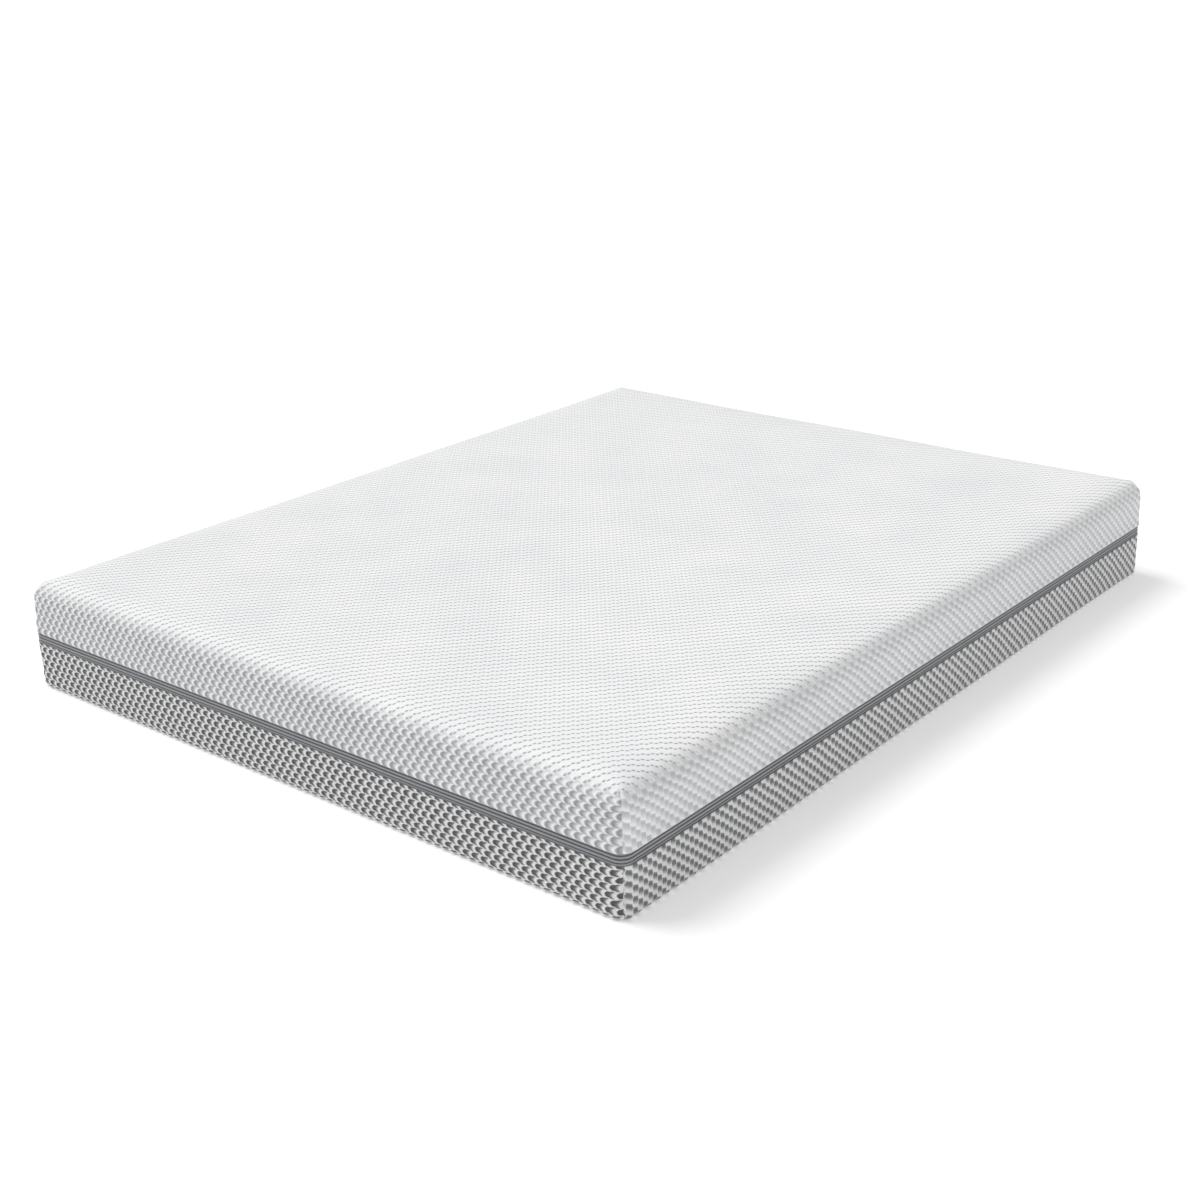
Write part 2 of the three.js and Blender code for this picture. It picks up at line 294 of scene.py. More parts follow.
# %% The same figure as shader nodes
def figure_nodes(tree):
    cloth = node(tree, "ShaderNodeUVMap", uv_map="Knit").outputs["UV"]
    uneven = node(tree, "ShaderNodeTexNoise", {"Vector": cloth, "Scale": 26.0, "Detail": 1.0})
    centred = node(
        tree, "ShaderNodeVectorMath", {0: uneven.outputs["Color"], 1: (0.5, 0.5, 0.5)},
        operation="SUBTRACT",
    )
    pulled = node(
        tree, "ShaderNodeVectorMath", {0: centred.outputs[0], 1: (4 * MM, 4 * MM, 0), 2: cloth},
        operation="MULTIPLY_ADD",
    )
    place = node(tree, "ShaderNodeSeparateXYZ", {"Vector": pulled.outputs[0]})
    rows = node(
        tree, "ShaderNodeMath", {0: place.outputs["Y"], 1: 1 / row_height}, operation="MULTIPLY",
    )
    row = node(tree, "ShaderNodeMath", {0: rows.outputs[0]}, operation="FLOOR")
    up_row = node(tree, "ShaderNodeMath", {0: rows.outputs[0]}, operation="FRACT").outputs[0]
    widths = node(
        tree, "ShaderNodeMath", {0: place.outputs["X"], 1: 1 / repeat_across}, operation="MULTIPLY",
    )
    columns = node(
        tree, "ShaderNodeMath", {0: row.outputs[0], 1: -0.5, 2: widths.outputs[0]},
        operation="MULTIPLY_ADD",
    ).outputs[0]
    where = node(tree, "ShaderNodeSeparateXYZ", {"Vector": cloth})
    past = []
    for axis, half in zip("XY", flat_half):
        out = node(tree, "ShaderNodeMath", {0: where.outputs[axis]}, operation="ABSOLUTE")
        beyond = node(tree, "ShaderNodeMath", {0: out.outputs[0], 1: half}, operation="SUBTRACT")
        past.append(beyond.outputs[0])
    long_side = node(tree, "ShaderNodeMath", {0: past[0], 1: past[1]}, operation="GREATER_THAN")
    taut = node(
        tree, "ShaderNodeMapRange",
        {"Value": past[0], "From Min": taut_from, "From Max": taut_to, "To Max": long_side.outputs[0]},
        interpolation_type="SMOOTHSTEP",
    ).outputs["Result"]
    lean = node(tree, "ShaderNodeMath", {0: taut, 1: crest_lean, 2: -crest_lean}, operation="MULTIPLY_ADD")
    straightened = node(
        tree, "ShaderNodeMath", {0: taut, 1: taut_bow - crest_bow, 2: crest_bow}, operation="MULTIPLY_ADD",
    )
    bow = node(
        tree, "ShaderNodeMath", {0: up_row, 1: lean.outputs[0], 2: straightened.outputs[0]},
        operation="MULTIPLY_ADD",
    )
    bend = node(
        tree, "ShaderNodeMath", {0: up_row, 1: bow.outputs[0], 2: crest_foot}, operation="MULTIPLY_ADD",
    )
    chains = node(tree, "ShaderNodeMath", {0: columns, 1: bend.outputs[0]}, operation="ADD")
    behind = node(tree, "ShaderNodeMath", {0: chains.outputs[0]}, operation="FRACT").outputs[0]
    from_row_edge = node(tree, "ShaderNodeMath", {0: up_row, 1: 0.5}, operation="PINGPONG")
    row_edge = node(
        tree, "ShaderNodeMapRange",
        {"Value": from_row_edge.outputs[0], "From Min": row_edge_start, "From Max": 0.0, "To Max": 1.0},
        interpolation_type="SMOOTHSTEP",
    ).outputs["Result"]
    hill = node(tree, "ShaderNodeValToRGB", {"Fac": behind})
    ramp_stops(hill, list(zip(relief_places, relief_heights)))
    lifted = node(tree, "ShaderNodeMath", {0: row_edge, 1: row_edge_lift}, operation="MULTIPLY")
    relief = node(
        tree, "ShaderNodeMath", {0: hill.outputs["Color"], 1: lifted.outputs[0]}, operation="MAXIMUM",
    )
    return {
        "cloth": cloth, "past": past, "taut": taut, "columns": columns, "up_row": up_row,
        "behind": behind, "row_edge": row_edge, "relief": relief.outputs[0],
    }


# %% [markdown]
# Every cloth here ends the same way: a coarse bump for its figure, on top of that a fine one for its
# stitches, and a colour. Two bump nodes in a row add up, so the figure and the stitches can have their
# own depths. One image of all the heights would also do, but then the two depths couldn't be set apart.

# %% Bumps and colour of a cloth
def finish_cloth(tree, shader, shade, relief, relief_depth, stitches, stitch_depth):
    bumps = node(tree, "ShaderNodeBump", {"Height": relief, "Distance": relief_depth, "Strength": 1.0})
    loops = node(
        tree, "ShaderNodeBump",
        {"Height": stitches, "Distance": stitch_depth, "Strength": 1.0, "Normal": bumps.outputs["Normal"]},
        invert=True,
    )
    tree.links.new(loops.outputs["Normal"], shader.inputs["Normal"])
    tree.links.new(shade, shader.inputs["Base Color"])

# %% [markdown]
# ## White knit
#
# The upper cover is polyester and viscose double knit, off white and matt with a soft sheen. Its crests
# are white and its hollows are painted grey as shade. On the short ends, where the cloth is slack and the
# hollows are modelled deeper, the painted shade is darker, standing in for the weaker light there. On the
# sleeping surface the figure is pulled flat, and each half repeat has one small slanting pit where the two
# layers are tied together, painted grey as shade. The colours could be painted on an image; nodes that
# follow the lengths along the cloth stay sharp from any distance and meet at every edge.

# %% White double knit
white_knit, tree, shader = new_material("white_double_knit", 0.86, sheen=0.12)
figure = figure_nodes(tree)
cloth = figure["cloth"]
past = figure["past"]
past_nearest = node(tree, "ShaderNodeMath", {0: past[0], 1: past[1]}, operation="MAXIMUM")
on_side = node(
    tree, "ShaderNodeMapRange",
    {"Value": past_nearest.outputs[0], "From Min": taut_from, "From Max": taut_to},
    interpolation_type="SMOOTHSTEP",
).outputs["Result"]
print("white knit starts with", len(tree.nodes), "nodes")

# %% [markdown]
# A pit is a slanting oval. Its shape is made of distances: the way from the pit's middle, as a length on
# the cloth, is turned by the slant and divided by the two half widths, so that the oval's edge is where
# the result is one. Two ovals fit in a repeat, and the nearer one counts.

# %% Pits of the sleeping surface
pit_long = 4.2 * MM
pit_wide = 2.4 * MM
pit_slant = math.radians(50)
pit_middles = ((0.5, 0.74), (0.17, 0.36))
up_row = figure["up_row"]
repeat_turns = node(tree, "ShaderNodeMath", {0: figure["columns"]}, operation="FRACT").outputs[0]
pits = []
for pit_column, pit_row in pit_middles:
    aside = node(tree, "ShaderNodeMath", {0: repeat_turns, 1: pit_column}, operation="SUBTRACT")
    above = node(tree, "ShaderNodeMath", {0: up_row, 1: pit_row}, operation="SUBTRACT")
    span = node(tree, "ShaderNodeCombineXYZ", {"X": aside.outputs[0], "Y": above.outputs[0]})
    sized = node(
        tree, "ShaderNodeVectorMath", {0: span.outputs[0], 1: (repeat_across, row_height, 0)},
        operation="MULTIPLY",
    )
    turned = node(
        tree, "ShaderNodeVectorRotate", {"Vector": sized.outputs[0], "Angle": -pit_slant},
        rotation_type="Z_AXIS",
    )
    oval = node(
        tree, "ShaderNodeVectorMath", {0: turned.outputs[0], 1: (1 / pit_long, 1 / pit_wide, 0)},
        operation="MULTIPLY",
    )
    distance = node(tree, "ShaderNodeVectorMath", {0: oval.outputs[0]}, operation="LENGTH")
    pits.append(distance.outputs["Value"])
nearest = node(tree, "ShaderNodeMath", {0: pits[0], 1: pits[1]}, operation="MINIMUM")
pit = node(
    tree, "ShaderNodeMapRange",
    {"Value": nearest.outputs[0], "From Min": 1.25, "From Max": 0.25}, interpolation_type="SMOOTHSTEP",
).outputs["Result"]
print("pits of", round(pit_long / MM, 1), "by", round(pit_wide / MM, 1), "mm, half widths")

# %% [markdown]
# The shades follow the height of the figure: a colour ramp reads the relief, so hollows are painted grey
# as shade and crests are white. The short ends have a ramp of their own, with darker painted shade in
# the hollows. A faint large noise keeps the cloth from looking printed, as handling does to a real one,
# and small stitches are laid over everything. A real stitch is about a millimetre wide; these are drawn
# at 2.2 mm, as coarse as they need to be to show.

# %% Shades of the white knit
relief = figure["relief"]
# On the sleeping surface each pit is painted grey as shade.
top_pits_painted_grey = node(
    tree, "ShaderNodeMix", {0: pit, 6: colour("F6F6F6"), 7: colour("A9AAAC")}, data_type="RGBA",
)
# Painted shade: the hollows are painted grey and the crests white, darker on the short ends.
short_end = node(tree, "ShaderNodeMath", {0: past[1], 1: past[0]}, operation="GREATER_THAN")
long_side_hollows_painted_grey = node(tree, "ShaderNodeValToRGB", {"Fac": relief})
ramp_stops(long_side_hollows_painted_grey, [(0.0, colour("BFC0C2")), (0.45, colour("D6D7D8")), (0.85, colour("F0F0F0"))])
short_end_hollows_painted_darker = node(tree, "ShaderNodeValToRGB", {"Fac": relief})
ramp_stops(short_end_hollows_painted_darker, [(0.0, colour("96979A")), (0.5, colour("BFC0C2")), (0.9, colour("F2F2F2"))])
painted_shade_in_hollows = node(
    tree, "ShaderNodeMix",
    {0: short_end.outputs[0], 6: long_side_hollows_painted_grey.outputs["Color"], 7: short_end_hollows_painted_darker.outputs["Color"]},
    data_type="RGBA",
)
knit_with_painted_shade = node(
    tree, "ShaderNodeMix", {0: on_side, 6: top_pits_painted_grey.outputs[2], 7: painted_shade_in_hollows.outputs[2]},
    data_type="RGBA",
)
handled = node(tree, "ShaderNodeTexNoise", {"Vector": cloth, "Scale": 5.0, "Detail": 4.0})
worn = node(tree, "ShaderNodeValToRGB", {"Fac": handled.outputs["Fac"]})
ramp_stops(worn, [(0.3, colour("F7F8F9")), (0.7, colour("FFFFFF"))])
white_shade = node(
    tree, "ShaderNodeMix", {0: 1.0, 6: knit_with_painted_shade.outputs[2], 7: worn.outputs["Color"]},
    data_type="RGBA", blend_type="MULTIPLY",
)
flattened = node(tree, "ShaderNodeMath", {0: pit, 1: -1.0, 2: 1.0}, operation="MULTIPLY_ADD")
surface = node(
    tree, "ShaderNodeMix", {0: on_side, 2: flattened.outputs[0], 3: relief}, data_type="FLOAT",
)
stitch_size = 2.2 * MM
relief_depth = 0.5 * MM
stitch_depth = 0.12 * MM
stitches = node(
    tree, "ShaderNodeTexVoronoi", {"Vector": cloth, "Scale": 1 / stitch_size, "Randomness": 0.35},
    distance="CHEBYCHEV",
).outputs["Distance"]
finish_cloth(
    tree, shader, white_shade.outputs[2], surface.outputs[0], relief_depth, stitches, stitch_depth,
)
print("white knit has", len(tree.nodes), "nodes")

# %% [markdown]
# ## Grey and white knit
#
# The lower cover has the same figure in two yarns. The white yarn makes the crests; behind each crest a
# dark grey one lies open, thins to mid grey, and runs on as a short tail into the next row. On the taut
# long sides the crests straighten, and the greys are painted lighter there, standing in for the stronger
# light on that side. Grey yarn is spun from mixed fibres, so a fine marl breaks it up. Two ramps, one for
# slack and one for taut cloth, are blended by the pull; a single ramp made the long sides too dark.

# %% Two-yarn double knit
grey_knit, tree, shader = new_material("grey_white_double_knit", 0.84, sheen=0.1)
figure = figure_nodes(tree)
cloth = figure["cloth"]
behind = figure["behind"]
white_yarn = colour("EDEDEC")
slack_yarns = node(tree, "ShaderNodeValToRGB", {"Fac": behind})
ramp_stops(slack_yarns, [
    (0.0, white_yarn), (0.05, white_yarn), (0.12, colour("5A5B5D")), (0.34, colour("505153")),
    (0.56, colour("707174")), (0.68, colour("ABACAE")), (0.82, white_yarn),
])
# Lighter greys for the long sides: painted light, standing in for the stronger light there.
long_side_yarns_painted_lighter = node(tree, "ShaderNodeValToRGB", {"Fac": behind})
ramp_stops(long_side_yarns_painted_lighter, [
    (0.0, white_yarn), (0.04, white_yarn), (0.16, colour("838486")), (0.34, colour("707173")),
    (0.52, colour("868789")), (0.66, colour("BBBCBE")), (0.84, white_yarn),
])
yarns = node(
    tree, "ShaderNodeMix",
    {0: figure["taut"], 6: slack_yarns.outputs["Color"], 7: long_side_yarns_painted_lighter.outputs["Color"]},
    data_type="RGBA",
)
tail = node(tree, "ShaderNodeValToRGB", {"Fac": behind})
ramp_stops(tail, [(0.0, 1.0), (0.26, 1.0), (0.38, 0.15), (0.56, 0.15), (0.72, 1.0)])
white_foot = node(
    tree, "ShaderNodeMath", {0: figure["row_edge"], 1: tail.outputs["Color"]}, operation="MULTIPLY",
)
marl = node(tree, "ShaderNodeTexNoise", {"Vector": cloth, "Scale": 420.0, "Detail": 2.0})
marled = node(tree, "ShaderNodeValToRGB", {"Fac": marl.outputs["Fac"]})
ramp_stops(marled, [(0.3, colour("D9D9D9")), (0.7, colour("FFFFFF"))])
two_yarns = node(
    tree, "ShaderNodeMix", {0: white_foot.outputs[0], 6: yarns.outputs[2], 7: white_yarn},
    data_type="RGBA",
)
grey_shade = node(
    tree, "ShaderNodeMix", {0: 1.0, 6: two_yarns.outputs[2], 7: marled.outputs["Color"]},
    data_type="RGBA", blend_type="MULTIPLY",
)
stitches = node(
    tree, "ShaderNodeTexVoronoi", {"Vector": cloth, "Scale": 1 / stitch_size, "Randomness": 0.35},
    distance="CHEBYCHEV",
).outputs["Distance"]
finish_cloth(tree, shader, grey_shade.outputs[2], figure["relief"], relief_depth, stitches, stitch_depth)
print("grey and white knit has", len(tree.nodes), "nodes")

# %% [markdown]
# ## Back of the knit
#
# The back of both knits is a plain interlock: fine wales, no figure, and a touch greyer than the face.
# It is seen only when the cover is off, so it could share the face's finish; a second material costs
# little and lets the inside of the cover look like an inside. Its stitches are drawn about twice as
# coarse as real ones, so that they show, and they are painted darker towards the edge of each stitch, as
# shade between the loops.

# %% Knit back
knit_back, tree, shader = new_material("interlock_knit_back", 0.9, sheen=0.08)
cloth = node(tree, "ShaderNodeUVMap", uv_map="Knit").outputs["UV"]
back_stitch_size = 2.5 * MM
wale_width = 0.4 * MM
stitches = node(
    tree, "ShaderNodeTexVoronoi", {"Vector": cloth, "Scale": 1 / back_stitch_size, "Randomness": 0.35},
    distance="CHEBYCHEV",
).outputs["Distance"]
wales = node(
    tree, "ShaderNodeTexWave",
    {"Vector": cloth, "Scale": 1 / (2 * math.pi * wale_width) / 2, "Distortion": 0.3},
)
# Painted shade: darker towards the edge of each stitch, between the loops.
back_stitches_painted_shade = node(tree, "ShaderNodeValToRGB", {"Fac": stitches})
ramp_stops(back_stitches_painted_shade, [(0.1, colour("E6E6E4")), (0.6, colour("CFCFCD"))])
finish_cloth(
    tree, shader, back_stitches_painted_shade.outputs["Color"], wales.outputs["Fac"], 0.15 * MM, stitches, 0.15 * MM,
)
print("knit back has", len(tree.nodes), "nodes")

# %% [markdown]
# ## Hem binding
#
# Each hem is bound with a narrow strip of grey polyester, so the raw knit can't fray into the zip. The
# strip could be a piece of its own. It's only as wide as the cloth is thick, so the rim faces of the
# cover carry it as a material, which the Solidify modifier puts there.

# %% Hem binding
hem_binding, tree, shader = new_material("woven_polyester_binding", 0.75, sheen=0.1)
spot = node(tree, "ShaderNodeTexCoord").outputs["Object"]
thread = node(tree, "ShaderNodeTexNoise", {"Vector": spot, "Scale": 700.0, "Detail": 2.0})
binding_shade = node(tree, "ShaderNodeValToRGB", {"Fac": thread.outputs["Fac"]})
ramp_stops(binding_shade, [(0.3, colour("6F7073")), (0.7, colour("8E8F92"))])
ridges = node(tree, "ShaderNodeBump", {"Height": thread.outputs["Fac"], "Distance": 0.1 * MM})
tree.links.new(binding_shade.outputs["Color"], shader.inputs["Base Color"])
tree.links.new(ridges.outputs["Normal"], shader.inputs["Normal"])
print("hem binding has", len(tree.nodes), "nodes")

# %% [markdown]
# ## Modelling helpers
#
# Edit-mode tools act on whatever is selected. By hand, edges and faces would be picked with the mouse;
# in a script they are picked by a rule about their place, which keeps working when a size changes.

# %% Picking edges and faces by their place
def pick(piece, kind, wanted):
    bpy.ops.mesh.select_mode(type=kind)
    bpy.ops.mesh.select_all(action="DESELECT")
    mesh = bmesh.from_edit_mesh(piece.data)
    if kind == "EDGE":
        for edge in mesh.edges:
            edge.select_set(wanted(edge.verts[0].co, edge.verts[1].co))
    else:
        for face in mesh.faces:
            face.select_set(wanted(face.calc_center_median(), face.normal))
    mesh.select_flush_mode()
    bmesh.update_edit_mesh(piece.data)


print("edges and faces can be picked")

# %% [markdown]
# A modifier is easy to change while it stays on a piece, but here each one is applied at once, since the
# next step works on its result. Points are read and written all together as one array, which is much
# faster than one by one.

# %% Modifiers and points
def finish_editing():
    bpy.ops.object.mode_set(mode="OBJECT")


def apply_modifier(piece, kind, **settings):
    bpy.context.view_layer.objects.active = piece
    modifier = piece.modifiers.new(kind.lower(), kind)
    for name, value in settings.items():
        setattr(modifier, name, value)
    bpy.ops.object.modifier_apply(modifier=modifier.name)


def points_of(piece, attribute="co"):
    values = np.empty(len(piece.data.vertices) * 3, np.float32)
    piece.data.vertices.foreach_get(attribute, values)
    return values.reshape(-1, 3).astype(float)


def put_points(piece, points):
    piece.data.vertices.foreach_set("co", points.astype(np.float32).ravel())
    piece.data.update()


# %% [markdown]
# A cover, a liner and a foam slab are all blocks with round corners. Such a block starts as a cube; its
# upright edges and its rims are bevelled, and the long edges are then divided, which gives an even grid
# of nearly square faces for the cloth to bend on. A rounded profile pushed upwards would give the same
# walls, but not a top that runs into them in one grid.

# %% Blocks with round corners
def start_block(name, low, high):
    bpy.ops.object.select_all(action="DESELECT")
    middle = (Vector(low) + Vector(high)) / 2
    bpy.ops.mesh.primitive_cube_add(size=1, location=middle, scale=Vector(high) - Vector(low))
    piece = bpy.context.object
    piece.name = name
    piece.data.name = name
    bpy.ops.object.transform_apply(location=True, rotation=True, scale=True)
    bpy.ops.object.mode_set(mode="EDIT")
    return piece


def soft_block(name, low, high, corner, rims, cell, open_normals=()):
    """Returns a block, still in edit mode, with a rounded rim at each height in rims.

    It is left open below where open_normals holds -1, and above where it holds 1."""
    piece = start_block(name, low, high)
    tall = high[2] - low[2]
    pick(piece, "EDGE", lambda a, b: abs(a.z - b.z) > 0.5 * tall)
    bpy.ops.mesh.bevel(offset=corner, segments=6, affect="EDGES", clamp_overlap=False)
    for rim_height, wanted_radius in rims.items():
        radius = min(wanted_radius, corner - 0.4 * MM)
        pick(piece, "EDGE", lambda a, b: abs(a.z - rim_height) < 1e-6 and abs(b.z - rim_height) < 1e-6)
        steps = 6 if radius > 8 * MM else 3
        bpy.ops.mesh.bevel(offset=radius, segments=steps, affect="EDGES", clamp_overlap=False)
    bpy.ops.mesh.select_all(action="SELECT")
    bpy.ops.mesh.remove_doubles(threshold=0.9 * MM)
    for way in open_normals:
        pick(
            piece, "FACE",
            lambda centre, normal: normal.z * way > 0.9 and abs(centre.x) + abs(centre.y) < 0.1,
        )
        bpy.ops.mesh.delete(type="FACE")
    for axis in range(3):
        side = high[axis] - low[axis]
        straight = side - (sum(rims.values()) if axis == 2 else 2 * corner)
        cuts = min(round(straight / cell) - 1, 99)
        if cuts > 0:
            pick(piece, "EDGE", lambda a, b: abs(a[axis] - b[axis]) > 0.9 * straight)
            bpy.ops.mesh.subdivide(number_cuts=cuts)
    return piece


# %% [markdown]
# A bevel can't be wider than the corner it runs into, but the rim round the sleeping surface is softer
# than the upright corners. So the rim is bevelled as wide as it goes and its points are then lowered
# onto a wider arc, each by how far it stands in from the wall.

# %% Widening a rim
def widen_rim(piece, inset, hem, top, radius, bevel_radius):
    points = points_of(piece)
    inward = np.maximum(from_wall(points) - inset, 0)
    wall = points[:, 2] <= top - bevel_radius + 0.01 * MM
    squeezed = hem + (points[:, 2] - hem) * (top - radius - hem) / (top - bevel_radius - hem)
    drop = radius - np.sqrt(np.maximum(radius ** 2 - np.maximum(radius - inward, 0) ** 2, 0))
    points[:, 2] = np.where(wall, squeezed, top - drop)
    put_points(piece, points)


# %% [markdown]
# ## Swelling a cover on its filling
#
# A cover is sewn a little small and the foam presses it outwards everywhere except at its hems. The
# cloth simulation does that: the hem is pinned, gravity is off, and air pressure stands for the foam.
# Scaling the walls up would also fill the cover, but evenly, and a real one bulges most between its held
# edges. The result is capped, because foam doesn't blow up like a balloon, and the modifier doesn't stay
# on the piece.

# %% Cloth simulation with a capped result
def swell(piece, pinned, pressure, cap):
    rest = points_of(piece)
    held = piece.vertex_groups.new(name="sewn")
    held.add([int(i) for i in np.nonzero(pinned(rest))[0]], 1.0, "REPLACE")
    cloth = piece.modifiers.new("swell", "CLOTH")
    settings = cloth.settings
    settings.vertex_group_mass = "sewn"
    settings.use_pressure = True
    settings.uniform_pressure_force = pressure
    settings.tension_stiffness = 12
    settings.compression_stiffness = 12
    settings.bending_stiffness = 0.4
    settings.effector_weights.gravity = 0
    for moment in range(1, 21):
        scene.frame_set(moment)
    swollen = piece.evaluated_get(bpy.context.evaluated_depsgraph_get())
    values = np.empty(len(rest) * 3, np.float32)
    swollen.data.vertices.foreach_get("co", values)
    move = values.reshape(-1, 3) - rest
    piece.modifiers.remove(cloth)
    piece.vertex_groups.remove(held)
    scene.frame_set(1)
    reach = np.linalg.norm(move, axis=1, keepdims=True)
    soft_cap = cap * np.tanh(reach / cap)
    put_points(piece, rest + move * soft_cap / np.maximum(reach, 1e-9))
    moved = round(float(reach.max()) / MM, 1)
    kept = round(float(soft_cap.max()) / MM, 1)
    print(piece.name, "moved up to", moved, "mm, kept to", kept)


# %% [markdown]
# ## From plain skin to knitted cover
#
# After the swelling each cover gets one subdivision, a real thickness, and more faces on its outer side,
# finest where the figure stands out: the sides are divided once more than the top. The Solidify modifier
# also hands out the three materials, for the face, the back and the bound rim. A displacement modifier
# on an even mesh would need the finest faces everywhere.

# %% Thickness and finer faces
nearly_level = 0.97


def thicken(piece, thickness, face):
    apply_modifier(piece, "SUBSURF", levels=1, render_levels=1)
    for material in (face, knit_back, hem_binding):
        piece.data.materials.append(material)
    apply_modifier(
        piece, "SOLIDIFY", thickness=thickness, offset=-1, material_offset=1, material_offset_rim=2,
    )
    bpy.ops.object.mode_set(mode="EDIT")
    mesh = bmesh.from_edit_mesh(piece.data)
    for edge in mesh.edges:
        edge.select_set(False)
    for skin in mesh.faces:
        skin.select_set(skin.material_index == 0)
    bmesh.update_edit_mesh(piece.data)
    bpy.ops.mesh.subdivide(number_cuts=1)
    mesh = bmesh.from_edit_mesh(piece.data)
    for skin in mesh.faces:
        if skin.material_index == 0 and skin.normal.z > nearly_level:
            skin.select_set(False)
    bmesh.update_edit_mesh(piece.data)
    bpy.ops.mesh.subdivide(number_cuts=1)
    finish_editing()
    print(piece.name, "has", len(piece.data.polygons), "faces")


# %% [markdown]
# Now the outer points move along their normals: crests up and hollows down. Where the cloth is seamed at
# each upright corner there is a groove, beside it a soft upright fold, and the small puckers that the
# seam pulls into the cloth; these move the inner face too. All of them start beyond the tape, which lies
# flat behind the hem. The folds could be sculpted by hand; a few short rules put the same ones at all
# four corners.

# %% Relief, seams and folds
slack_deepening = 1.4
tape_overlap = 12 * MM


def raise_figure(piece, hem, crest_on_top, crest_on_side, fold_reach):
    points = points_of(piece)
    normals = points_of(piece, "normal")
    outer = np.zeros(len(points), bool)
    for polygon in piece.data.polygons:
        if polygon.material_index == 0:
            outer[list(polygon.vertices)] = True
    place = cloth_place(points, faces_long_side(points))
    upright = np.clip(np.hypot(normals[:, 0], normals[:, 1]), 0, 1)
    upright = upright * upright * (3 - 2 * upright)
    depth = crest_on_top + (crest_on_side - crest_on_top) * upright
    depth = np.where(faces_long_side(points), depth, slack_deepening * depth)
    from_hem = np.abs(points[:, 2] - hem)
    fade = np.clip(from_hem / (5 * MM), 0, 1)
    rise = depth * (figure_height(place) - 0.5) * fade

    over = np.abs(points[:, :2]) - half_size
    aside = (over[:, 0] - over[:, 1]) * math.sqrt(0.5)
    near = np.clip((from_hem - tape_overlap) / (14 * MM), 0, 1)
    groove = 2.2 * MM * np.exp(-(aside / (3.0 * MM)) ** 2)
    pucker = 0.8 * MM * np.sin(points[:, 2] / (3.6 * MM)) * np.exp(-np.abs(aside) / (12 * MM))
    valley = 3.0 * MM * np.exp(-((aside + 14 * MM) / (7 * MM)) ** 2) * fold_reach(points[:, 2])
    free = np.clip((from_hem - tape_overlap) / (30 * MM), 0, 1)
    sway = 0.9 * MM * np.sin(points[:, 0] * 9.1 + 1.3) * np.sin(points[:, 1] * 7.3 + 0.4) * free
    both_faces = sway - near * upright * (groove + valley - pucker)
    clearance = 1.4 * MM * np.exp(-(aside / (35 * MM)) ** 2) * near
    both_faces = both_faces - clearance * ~outer
    outward = np.where(outer, 1.0, -1.0)
    points = points + normals * (rise * outer + both_faces * outward)[:, None]
    points[:, 2] = np.maximum(points[:, 2], 0)
    put_points(piece, points)
    print(piece.name, "figure between", round(float(rise.min()) / MM, 2), round(float(rise.max()) / MM, 2))


# %% [markdown]
# Last, the cloth gets its map. Unwrapping by hand would cut it along the seams and flatten the parts;
# here the lengths along the cloth are known for every point, so they are written as the map directly, in
# metres. Each face belongs wholly to a long side or to a short end, so the map is cut exactly at the
# corner seams.

# %% Lengths along the cloth as a map
def unroll(piece):
    points = points_of(piece)
    loops = np.empty(len(piece.data.loops), np.int32)
    piece.data.loops.foreach_get("vertex_index", loops)
    counts = np.empty(len(piece.data.polygons), np.int32)
    piece.data.polygons.foreach_get("loop_total", counts)
    centres = np.empty(len(counts) * 3, np.float32)
    piece.data.polygons.foreach_get("center", centres)
    on_long_side = np.repeat(faces_long_side(centres.reshape(-1, 3)), counts)
    for old in list(piece.data.uv_layers):
        piece.data.uv_layers.remove(old)
    layer = piece.data.uv_layers.new(name="Knit")
    unrolled = cloth_place(points[loops], on_long_side)
    layer.data.foreach_set("uv", unrolled.astype(np.float32).ravel())
    piece.data.polygons.foreach_set("use_smooth", np.ones(len(counts), bool))
    piece.data.update()
    spread = np.ptp(unrolled, axis=0)
    print(piece.name, "unrolls to", [round(float(side), 3) for side in spread])


# %% [markdown]
# ## Upper cover
#
# One knitted skin makes the sleeping surface and the upper band. It is modelled as a block with its
# bottom left open, 1.2 mm tighter than its final size, and swollen from its pinned hem. Panels sewn
# together in the simulation would also do, but a real cover this taut shows nothing of its panels except
# the corner seams.

# %% Upper cover
slack = 1.2 * MM
cloth_cell = 24 * MM
foam_pressure = 4.0
knit_thickness = 3 * MM


def upper_fold(level):
    above_tape = np.clip((level - upper_hem - tape_overlap) / (30 * MM), 0, 1)
    below_rim = np.clip((height - level - 25 * MM) / (25 * MM), 0, 1)
    return above_tape * below_rim


upper_low = (-width / 2 + slack, -length / 2 + slack, upper_hem)
upper_high = (width / 2 - slack, length / 2 - slack, height - slack)
upper_cover = soft_block(
    "upper_cover_knit", upper_low, upper_high, corner_radius, {height - slack: corner_radius},
    cloth_cell, open_normals=[-1],
)
finish_editing()
widen_rim(upper_cover, slack, upper_hem, height - slack, rim_radius, corner_radius - 0.4 * MM)
swell(upper_cover, lambda points: points[:, 2] < upper_hem + 1 * MM, foam_pressure, 3 * MM)
thicken(upper_cover, knit_thickness, white_knit)
raise_figure(upper_cover, upper_hem, 0.3 * MM, 1.3 * MM, upper_fold)
unroll(upper_cover)
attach(upper_cover, "upper_cover")
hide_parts("top_cover")

# %% [markdown]
# ## Lower cover
#
# The lower band turns under at the floor with a 12 mm radius and ends there, where the base panel is
# sewn in. It is a block that is open above and below, made like the upper cover, but held at both edges,
# so it swells less. Its cloth is thinner, and its figure is as deep below as above.

# %% Lower cover
turn_under = 12 * MM
lower_slack = 2 * MM


def lower_fold(level):
    return np.clip((lower_hem - level - tape_overlap) / (60 * MM), 0, 1) * 0.3


def lower_edges(points):
    return (points[:, 2] < 1 * MM) | (points[:, 2] > lower_hem - 1 * MM)


